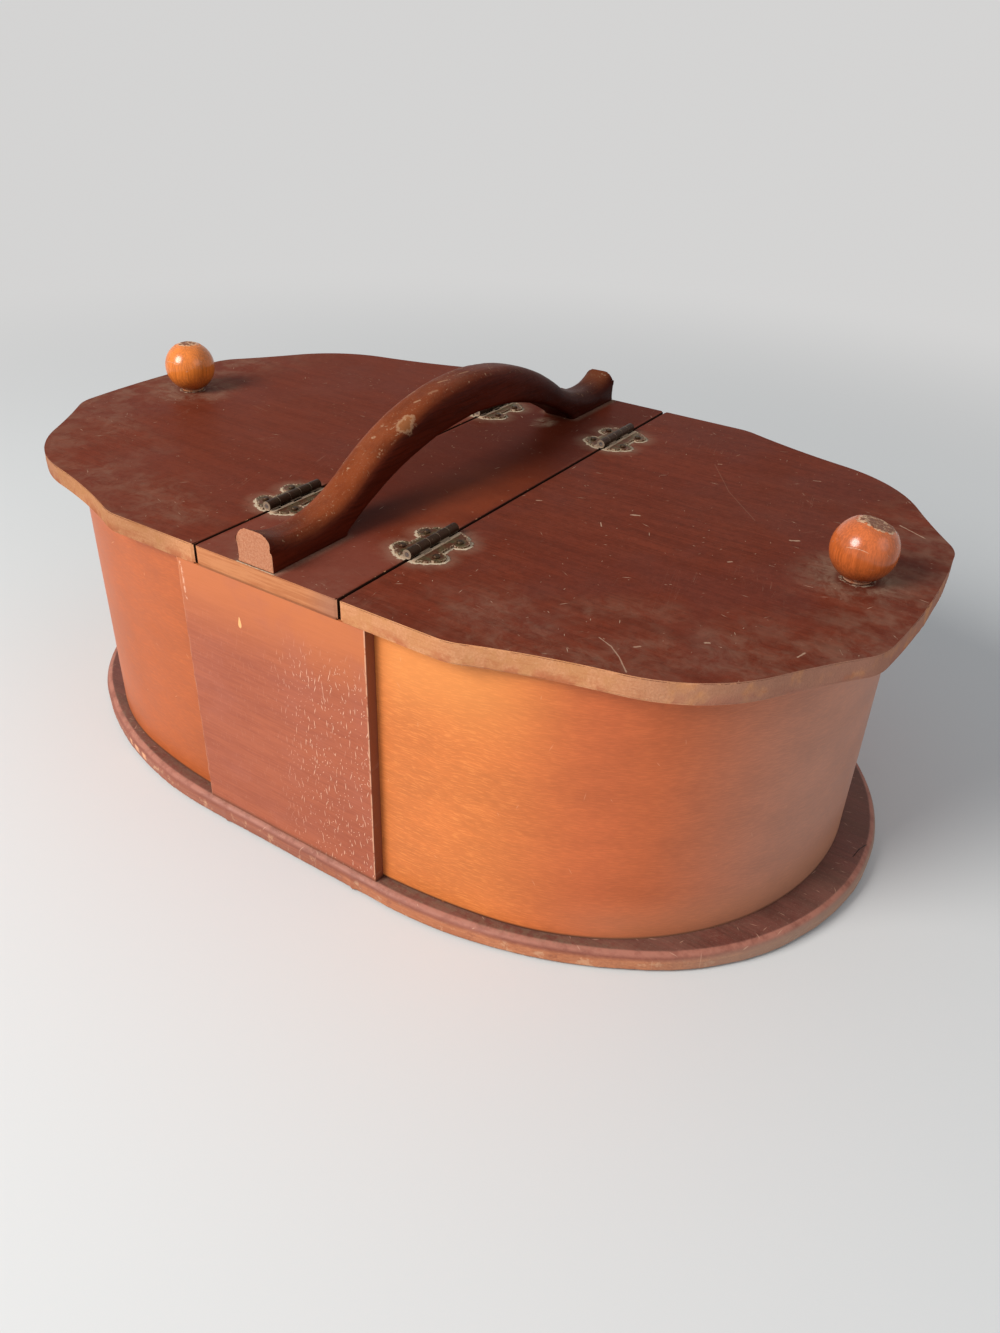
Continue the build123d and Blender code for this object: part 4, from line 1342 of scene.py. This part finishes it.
def tarnished_brass(finish):
    """Brown brass: dark barrels with specks of dust and painted glints, leaves with red and green
    fields, dust in the corners.
    """
    material, w, shader = new_material("tarnished_brass", 0.2)
    place = w.place()
    spot = w.parts(place)
    facing = w.facing()
    fine = w.noise(place, 0.9 * MM, 4, 0.7)
    colour = w.toned(finish.brass, w.step(fine, 0.3, 0.7, 0.55, 1.35))
    colour = w.mix(w.patches(place, 5 * MM, 0.42, 0.58, 0.75), colour, TONES["brass_red"])
    colour = w.mix(w.patches(w.vector("ADD", place, (0.4, 0.1, 0)), 4 * MM, 0.52, 0.64, 0.7),
                   colour, TONES["brass_green"])
    from_pin = w.gap(w.size_of(spot["X"]), HINGE_LINE)
    barrel = w.all_of(w.step(from_pin, 2.5 * MM, 2.0 * MM),
                      w.step(spot["Z"], TOP + SHEET, TOP + 1.3 * MM))
    nail = w.all_of(w.step(spot["Z"], TOP + SHEET, TOP + SHEET + 0.15 * MM),
                    w.step(from_pin, 3.0 * MM, 3.4 * MM))
    colour = w.mix(w.all_of(nail, 0.85), colour, TONES["nail"])
    colour = w.mix(w.all_of(barrel, 0.9), colour, TONES["barrel"])
    off = w.group(hinge_distance(), vector=place)["Distance"]
    rim = w.all_of(w.step(off, -0.9 * MM, -0.3 * MM), w.less(1.0, barrel))
    foot = w.all_of(w.step(from_pin, 4.0 * MM, 3.2 * MM), w.less(1.0, barrel))
    knuckle_end = w.step(w.size_of(facing["Y"]), 0.7, 0.9)
    speck = w.step(fine, 0.44, 0.58)
    # Dust on the rims, the foot and the knuckle ends, and pale specks on the barrels that are
    # partly dust and partly painted glints.
    dust_and_glints = w.most_of(w.all_of(rim, speck, 0.85),
                      w.all_of(foot, w.step(fine, 0.28, 0.42), 0.9),
                      w.all_of(knuckle_end, barrel, 0.55),
                      w.all_of(barrel, w.step(fine, 0.66, 0.74), 0.5))
    colour = w.mix(dust_and_glints, colour, finish.dust)
    w.join(w.step(dust_and_glints, 0.1, 0.5, 0.8, 0.0), shader.inputs["Metallic"])
    rough = w.total((1.0, 0.36), (fine, 0.2), (dust_and_glints, 0.3))
    relief = w.total((fine, 1.0), (w.noise(place, 2.5 * MM, 2), 1.5))
    surface(w, shader, colour, rough, relief, 0.10 * MM)
    return material


def dull_steel(finish):
    """Grey steel with brown rust."""
    material, w, shader = new_material("dull_steel")
    place = w.place()
    rust = w.patches(place, 2 * MM, 0.46, 0.62, detail=4)
    colour = w.mix(rust, finish.steel, TONES["rust"])
    w.join(w.step(rust, 0, 1, 0.9, 0.1), shader.inputs["Metallic"])
    surface(w, shader, colour, w.step(rust, 0, 1, 0.4, 0.8), rust, 0.05 * MM)
    return material


FINISHES = {
    "lid_face": top_board_finish,
    "wall_wood": wall_finish,
    "panel_wood": panel_finish,
    "base_wood": base_finish,
    "inner_wood": inner_finish,
    "handle_wood": handle_finish,
    "knob_wood": knob_finish,
    "hinge_brass": tarnished_brass,
    "steel": dull_steel,
}


def material_for(slot):
    """The one material of a slot, made the first time that it is asked for."""
    name = FINISHES[slot].__name__
    return bpy.data.materials.get(name) or FINISHES[slot](bpy.context.scene.carrier_finish)


# =========================================================================================
# Pieces
# =========================================================================================
class CARRIER_OT_base(bpy.types.Operator):
    """Base board with rounded, worn edges"""

    bl_idname = "carrier.base"
    bl_label = "Base board"

    def execute(self, context):
        half_length, half_width = BASE[1].x, BASE[1].y
        line = oval("base", half_length, half_width, BASE_FLAT, BASE_END_RADIUS, BASE[0].z)
        piece = board(line.close(0, 1), BASE[0].z, BASE[1].z, *BASE_ROUNDS)
        worn_board(piece, BASE[0].z, BASE[1].z, 4.5 * MM)
        self.note_wall_distance(piece)
        dress(piece, "base_wood", "root", "base_board")
        return {"FINISHED"}

    @staticmethod
    def note_wall_distance(piece):
        """Note how far each point of the base lies outside the walls."""
        end = WALL[1].x - WALL_END_RADIUS
        reach, shoulder = shoulder_of(WALL[1].x, WALL[1].y, WALL_FLAT, WALL_END_RADIUS)
        centre_y = WALL[1].y - shoulder
        noted = piece.data.attributes.new("wall_distance", "FLOAT", "POINT")
        for vertex, value in zip(piece.data.vertices, noted.data):
            x, y = abs(vertex.co.x), abs(vertex.co.y)
            if (x - end) * -centre_y > y * reach:
                value.value = hypot(x - end, y) - WALL_END_RADIUS
            else:
                value.value = hypot(max(x - WALL_FLAT / 2, 0), y - centre_y) - shoulder


class CARRIER_OT_walls(bpy.types.Operator):
    """Two bent end walls, the seam panels and the blocks behind them"""

    bl_idname = "carrier.walls"
    bl_label = "Walls and panels"

    def execute(self, context):
        for side in SIDES:
            piece = self.strip(f"{side}_wall_strip")
            if side == "left":
                flipped(piece)
            wear(piece, 0.3 * MM, grain=45 * MM, detail=1)
            smooth(piece)
            dress(piece, "wall_wood", "root", f"{side}_wall")
        for end in ENDS:
            panel = self.panel(end)
            dress(panel, "panel_wood", "root", f"{end}_panel")
            block = smooth(flat_faces(node_copy(f"{end}_seam_block", f"{end}_glue_block")))
            dress(block, "inner_wood", "root", f"{end}_seam_block")
        return {"FINISHED"}

    @staticmethod
    def strip(name):
        """Thin strip bent round the right end of the box."""
        line = oval(name, WALL[1].x, WALL[1].y, WALL_FLAT, WALL_END_RADIUS, WALL[0].z)
        bpy.ops.object.mode_set(mode="OBJECT")
        strip = modify(line.piece, "MIRROR", use_axis=[False, True, False],
                       merge_threshold=0.05 * MM)
        pick(strip, "EDGE", lambda points: True)
        for _ in range(WALL_LAYERS):
            extrude((0, 0, (WALL[1].z - WALL[0].z) / WALL_LAYERS))
        finish_edit(strip)
        outward = strip.data.polygons[0].normal.dot(strip.data.polygons[0].center) > 0
        modify(strip, "SOLIDIFY", thickness=WALL_THICKNESS, offset=-1 if outward else 1)
        return finish_edit(strip)

    @staticmethod
    def panel(end):
        """Seam panel whose long front corners are rubbed uneven."""
        panel = flat_faces(node_copy(f"{end}_panel", f"{end}_seam_panel"))
        cut_through(panel, 2, PANEL[0].z, PANEL[1].z, step=2.5 * MM)
        half_width = PANEL[1].x

        def on_corner(point):
            return half_width - 0.7 * MM < abs(point.x) and abs(point.y) > -PANEL[0].y - 1.2 * MM

        wear(panel, 0.5 * MM, grain=4 * MM, test=on_corner, detail=3)
        return smooth(panel, 50)


class CARRIER_OT_top_boards(bpy.types.Operator):
    """Centre board and the two scalloped lids"""

    bl_idname = "carrier.top_boards"
    bl_label = "Lids and centre board"

    def execute(self, context):
        line = Outline("centre_top", BOARD[1].x, 0, -90, WALL_TOP)
        line.run(BOARD[1].y - CORNER_RADIUS)
        line.turn(CORNER_RADIUS, -90)
        line.run(BOARD[1].x - CORNER_RADIUS)
        piece = board(line.close(0, 1), WALL_TOP, TOP, *CENTRE_ROUNDS)
        worn_board(piece, WALL_TOP, TOP)
        dress(piece, "lid_face", "root", "centre_board")
        for side in SIDES:
            piece = self.lid(side)
            if side == "left":
                flipped(piece)
            worn_board(piece, WALL_TOP, TOP)
            dress(piece, "lid_face", f"{side}_lid", f"{side}_lid")
        return {"FINISHED"}

    @staticmethod
    def lid(side):
        """Lid drawn on the right, with the length of its own side."""
        line = Outline(f"{side}_lid_top", LID[0].x, 0, -90, WALL_TOP)
        line.run(LID[1].y - CORNER_RADIUS)
        line.turn(CORNER_RADIUS, 90)
        line.run(LID_STRAIGHT[side] - CORNER_RADIUS)
        for radius, turn in LID_SCALLOPS:
            line.turn(radius, turn)
        left = 90 - line.heading
        line.turn(-line.point.y / sin(radians(left)), left)
        return board(line.close(1), WALL_TOP, TOP, *LID_ROUNDS)


class CARRIER_OT_handle(bpy.types.Operator):
    """Hand-shaped arched carrying handle"""

    bl_idname = "carrier.handle"
    bl_label = "Handle"

    def execute(self, context):
        piece = self.arch()
        modify(piece, "REMESH", mode="VOXEL", voxel_size=0.8 * MM)
        modify(piece, "SMOOTH", factor=0.5, iterations=1)

        def above_foot(point):
            return point.z > HANDLE[0].z + 1 * MM

        waver = context.scene.carrier_wear.handle_waver
        wear(piece, waver, grain=14 * MM, test=above_foot, detail=1)
        wear(piece, waver / 3, grain=3 * MM, test=above_foot, detail=2)
        shade_round(piece, 50)
        dress(piece, "handle_wood", "root", "handle")
        return {"FINISHED"}

    @staticmethod
    def arch():
        """Side view of the handle, thickened, rounded along its top and set upright."""
        width = 2 * HANDLE_HALF_WIDTH
        rise = HANDLE[1].z - HANDLE[0].z
        reach, fall = HANDLE_DIP[0], rise - HANDLE_DIP[1]
        both = (reach**2 + fall**2) / (2 * fall)
        sweep = degrees(atan2(reach, both - fall))
        under = (HANDLE_ARCH[0] ** 2 + HANDLE_ARCH[1] ** 2) / (2 * HANDLE_ARCH[1])
        bend = degrees(atan2(HANDLE_ARCH[0], under - HANDLE_ARCH[1]))
        line = Outline("carrying_handle", 0, rise, 0, 0)
        line.turn(HANDLE_CROWN_RADIUS, -sweep)
        line.turn(both - HANDLE_CROWN_RADIUS, sweep)
        line.turn(HANDLE_TOE_RADIUS, degrees(asin((HANDLE_END - reach) / HANDLE_TOE_RADIUS)))
        line.heading = -90
        line.run(line.point.y, 1)
        line.heading = 180
        line.run(HANDLE_END - HANDLE_ARCH[0])
        line.heading = 180 - bend
        line.turn(under, bend)
        piece = line.close(0)
        extrude((0, 0, width))
        finish_edit(piece)

        def above_arch(point):
            return hypot(point.x, point.y - HANDLE_ARCH[1] + under) - under

        def on_side(points):
            return at_height(0)(points) or at_height(width)(points)

        def on_top(points):
            along = abs(points[0].x - points[1].x) > 0.1 * MM
            return on_side(points) and along and all(
                point.y > 5 * MM and above_arch(point) > 5 * MM for point in points
            )

        def on_arch(points):
            return on_side(points) and all(abs(above_arch(point)) < 0.02 * MM for point in points)

        for test, radius in ((on_top, HANDLE_TOP_ROUND), (on_arch, HANDLE_ARCH_ROUND)):
            round_edges(piece, test, radius, 5)
            finish_edit(piece)
        piece.rotation_euler = Quaternion((1, 1, 1), radians(120)).to_euler()
        piece.location = (HANDLE[0].x, 0, HANDLE[0].z)
        select_only(piece)
        bpy.ops.object.transform_apply(location=True, rotation=True, scale=False)
        return piece


class CARRIER_OT_knobs(bpy.types.Operator):
    """Turned ball knobs with their tops worn flat"""

    bl_idname = "carrier.knobs"
    bl_label = "Knobs"

    def execute(self, context):
        for side, (tilt, depth) in KNOB_WORN.items():
            piece = node_copy(f"{side}_knob", f"{side}_ball_knob")
            centre = Vector((SIDES[side] * KNOB_AT, 0, TOP + KNOB_RISE))
            self.cut_top(piece, centre, Vector(tilt), KNOB_RADIUS - depth)
            modify(piece, "REMESH", mode="VOXEL", voxel_size=0.4 * MM)
            modify(piece, "SMOOTH", factor=0.5, iterations=2)

            def near_top(point):
                return (point - centre).dot(Vector(tilt)) > KNOB_RADIUS - depth - 1.2 * MM

            wear(piece, 0.45 * MM, grain=2.2 * MM, test=near_top, detail=3)
            shade_round(piece, 60)
            dress(piece, "knob_wood", f"{side}_lid", f"{side}_knob")
        return {"FINISHED"}

    @staticmethod
    def cut_top(piece, centre, tilt, reach):
        """Cut a ball off by a plane at a distance from its centre."""
        edit_all(piece)
        bpy.ops.mesh.bisect(
            plane_co=centre + tilt * reach, plane_no=tilt, use_fill=True, clear_outer=True
        )
        finish_edit(piece)


class CARRIER_OT_hinges(bpy.types.Operator):
    """Four small stamped hinges with their pins and nails"""

    bl_idname = "carrier.hinges"
    bl_label = "Hinges"

    def execute(self, context):
        brass = material_for("hinge_brass")
        for side in SIDES:
            for end in ENDS:
                hinge = f"{side}_{end}_hinge"
                for part, body in (("board_leaf", "root"), ("lid_leaf", f"{side}_lid")):
                    leaf = self.stamped(f"{hinge}_{part}")
                    dress(leaf, "hinge_brass", body, f"{hinge}_{part}")
                frame["nodes"][f"{hinge}_pin"].data.materials[0] = material_for("steel")
            frame["nodes"][f"{side}_lid_hinge_nails"].data.materials[0] = brass
        frame["nodes"]["board_hinge_nails"].data.materials[0] = brass
        return {"FINISHED"}

    @staticmethod
    def stamped(node):
        """Leaf whose sheet is pressed down inside a raised rim."""
        leaf = flat_faces(node_copy(node, f"{node}_stamped"))
        pick(leaf, "FACE", at_height(TOP + SHEET))
        bpy.ops.mesh.inset(thickness=STAMPED_RIM, depth=-STAMPED_DEPTH, use_outset=False)
        finish_edit(leaf)
        return smooth(leaf)


class CARRIER_OT_screws(bpy.types.Operator):
    """Slotted screws of the handle, the knobs and the base"""

    bl_idname = "carrier.screws"
    bl_label = "Screws"

    def execute(self, context):
        for node in ("handle_screws", "left_knob_screw", "right_knob_screw", "base_screws"):
            piece = self.slotted(node)
            body = f"{node.split('_')[0]}_lid" if "knob" in node else "root"
            dress(piece, "steel", body, node)
        return {"FINISHED"}

    @staticmethod
    def slotted(node):
        """Copy of a group of screws with a driver slot sawn into each head."""
        piece = node_copy(node, f"{node}_slotted")
        low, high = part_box(node)
        middle = ((low[0] + high[0]) / 2 / MM, (low[1] + high[1]) / 2 / MM)
        cutters = []
        for number, (x, y) in enumerate(SCREWS_AT.get(node, [middle])):
            bpy.ops.object.select_all(action="DESELECT")
            turn = (0, 0, radians(25 + 55 * number))
            bpy.ops.mesh.primitive_cube_add(
                size=1, location=(x * MM, y * MM, low[2]), rotation=turn, scale=DRIVER_SLOT
            )
            cutters.append(bpy.context.object)
        select_only(*cutters)
        if len(cutters) > 1:
            bpy.ops.object.join()
        modify(piece, "BOOLEAN", object=cutters[0], operation="DIFFERENCE", solver="EXACT")
        select_only(cutters[0])
        bpy.ops.object.delete()
        return smooth(finish_edit(piece))


# =========================================================================================
# Stage
# =========================================================================================
class CARRIER_OT_stage(bpy.types.Operator):
    """Pale floor, soft studio light and the camera"""

    bl_idname = "carrier.stage"
    bl_label = "Stage"

    def execute(self, context):
        light = context.scene.carrier_light
        self.floor(light)
        self.lamps(light)
        self.world(context, light)
        self.camera(context)
        context.scene.view_settings.view_transform = "Standard"
        return {"FINISHED"}

    @staticmethod
    def seen(w):
        """Mask of the rays that show the backdrop: direct, mirrored and refracted."""
        path = w.node("ShaderNodeLightPath").outputs
        rays = w.math("ADD", path["Is Camera Ray"], path["Is Glossy Ray"])
        return w.math("ADD", rays, path["Is Transmission Ray"], clamp=True)

    def floor(self, light):
        """Floor that takes the shadow and fades into the backdrop far away."""
        bpy.ops.object.select_all(action="DESELECT")
        bpy.ops.mesh.primitive_grid_add(size=FLOOR_SIZE, x_subdivisions=8, y_subdivisions=8)
        floor = bpy.context.object
        floor.name = "floor"
        material, w, shader = new_material("plain_floor", 0.2)
        shader.inputs["Base Color"].default_value = (*light.floor, 1)
        shader.inputs["Roughness"].default_value = 0.9
        far = w.all_of(w.step(w.length(w.place()), *FLOOR_FADE), self.seen(w))
        plain = w.node("ShaderNodeEmission")
        plain.inputs["Color"].default_value = (*light.backdrop, 1)
        blend = w.node("ShaderNodeMixShader")
        w.join(far, blend.inputs[0])
        w.join(shader.outputs[0], blend.inputs[1])
        w.join(plain.outputs[0], blend.inputs[2])
        output = next(n for n in w.tree.nodes if n.type == "OUTPUT_MATERIAL")
        w.join(blend.outputs[0], output.inputs["Surface"])
        floor.data.materials.append(material)

    @staticmethod
    def lamps(light):
        for name, (place, size, tint) in LAMPS.items():
            bpy.ops.object.light_add(type="AREA", location=place)
            lamp = bpy.context.object
            lamp.name = f"{name}_lamp"
            ahead = Vector(LAMPS_AIM) - Vector(place)
            lamp.rotation_euler = ahead.to_track_quat("-Z", "Y").to_euler()
            lamp.data.shape = "DISK"
            lamp.data.size = size
            lamp.data.energy = getattr(light, name)
            lamp.data.color = tint

    def world(self, context, light):
        """Soft light of the room, and the plain backdrop where it is seen."""
        world = bpy.data.worlds.new("soft_room")
        world.use_nodes = True
        w = Wiring(world.node_tree)
        room = w.tree.nodes["Background"]
        room.inputs["Color"].default_value = (*ROOM_TINT, 1)
        room.inputs["Strength"].default_value = light.room
        plain = w.node("ShaderNodeBackground")
        plain.inputs["Color"].default_value = (*light.backdrop, 1)
        blend = w.node("ShaderNodeMixShader")
        w.join(self.seen(w), blend.inputs[0])
        w.join(room.outputs[0], blend.inputs[1])
        w.join(plain.outputs[0], blend.inputs[2])
        w.join(blend.outputs[0], w.tree.nodes["World Output"].inputs["Surface"])
        context.scene.world = world

    @staticmethod
    def camera(context):
        view = context.scene.carrier_camera
        level = cos(view.elevation)
        ahead = Vector(
            (-sin(view.azimuth) * level, cos(view.azimuth) * level, -sin(view.elevation))
        )
        bpy.ops.object.camera_add(location=view.place)
        camera = context.object
        camera.name = "camera"
        turned = ahead.to_track_quat("-Z", "Y") @ Quaternion((0, 0, 1), view.roll)
        camera.rotation_euler = turned.to_euler()
        camera.data.lens = view.lens
        camera.data.sensor_width = 36
        camera.data.clip_start = 0.01
        context.scene.camera = camera


STEPS = (
    CARRIER_OT_base,
    CARRIER_OT_walls,
    CARRIER_OT_top_boards,
    CARRIER_OT_handle,
    CARRIER_OT_knobs,
    CARRIER_OT_hinges,
    CARRIER_OT_screws,
    CARRIER_OT_stage,
)
SETTINGS = {
    "carrier_finish": CarrierFinish,
    "carrier_wear": CarrierWear,
    "carrier_camera": CarrierCamera,
    "carrier_light": CarrierLight,
}


class CARRIER_PT_sidebar(bpy.types.Panel):
    """Lists the steps that dress the carrier, and their settings"""

    bl_idname = "CARRIER_PT_sidebar"
    bl_label = "Sewing Carrier"
    bl_space_type = "VIEW_3D"
    bl_region_type = "UI"
    bl_category = "Carrier"

    def draw(self, context):
        for step in STEPS:
            self.layout.operator(step.bl_idname)
        for name, group in SETTINGS.items():
            box = self.layout.box()
            for setting in group.__annotations__:
                box.prop(getattr(context.scene, name), setting)


def register():
    for group in SETTINGS.values():
        bpy.utils.register_class(group)
    for step in (*STEPS, CARRIER_PT_sidebar):
        bpy.utils.register_class(step)
    for name, group in SETTINGS.items():
        setattr(bpy.types.Scene, name, bpy.props.PointerProperty(type=group))


def unregister():
    for name in SETTINGS:
        delattr(bpy.types.Scene, name)
    for made in (CARRIER_PT_sidebar, *reversed(STEPS), *SETTINGS.values()):
        bpy.utils.unregister_class(made)


def main():
    register()
    bpy.ops.carrier.base()
    bpy.ops.carrier.walls()
    bpy.ops.carrier.top_boards()
    bpy.ops.carrier.handle()
    bpy.ops.carrier.knobs()
    bpy.ops.carrier.hinges()
    bpy.ops.carrier.screws()
    bpy.ops.carrier.stage()


if __name__ == "__main__":
    main()
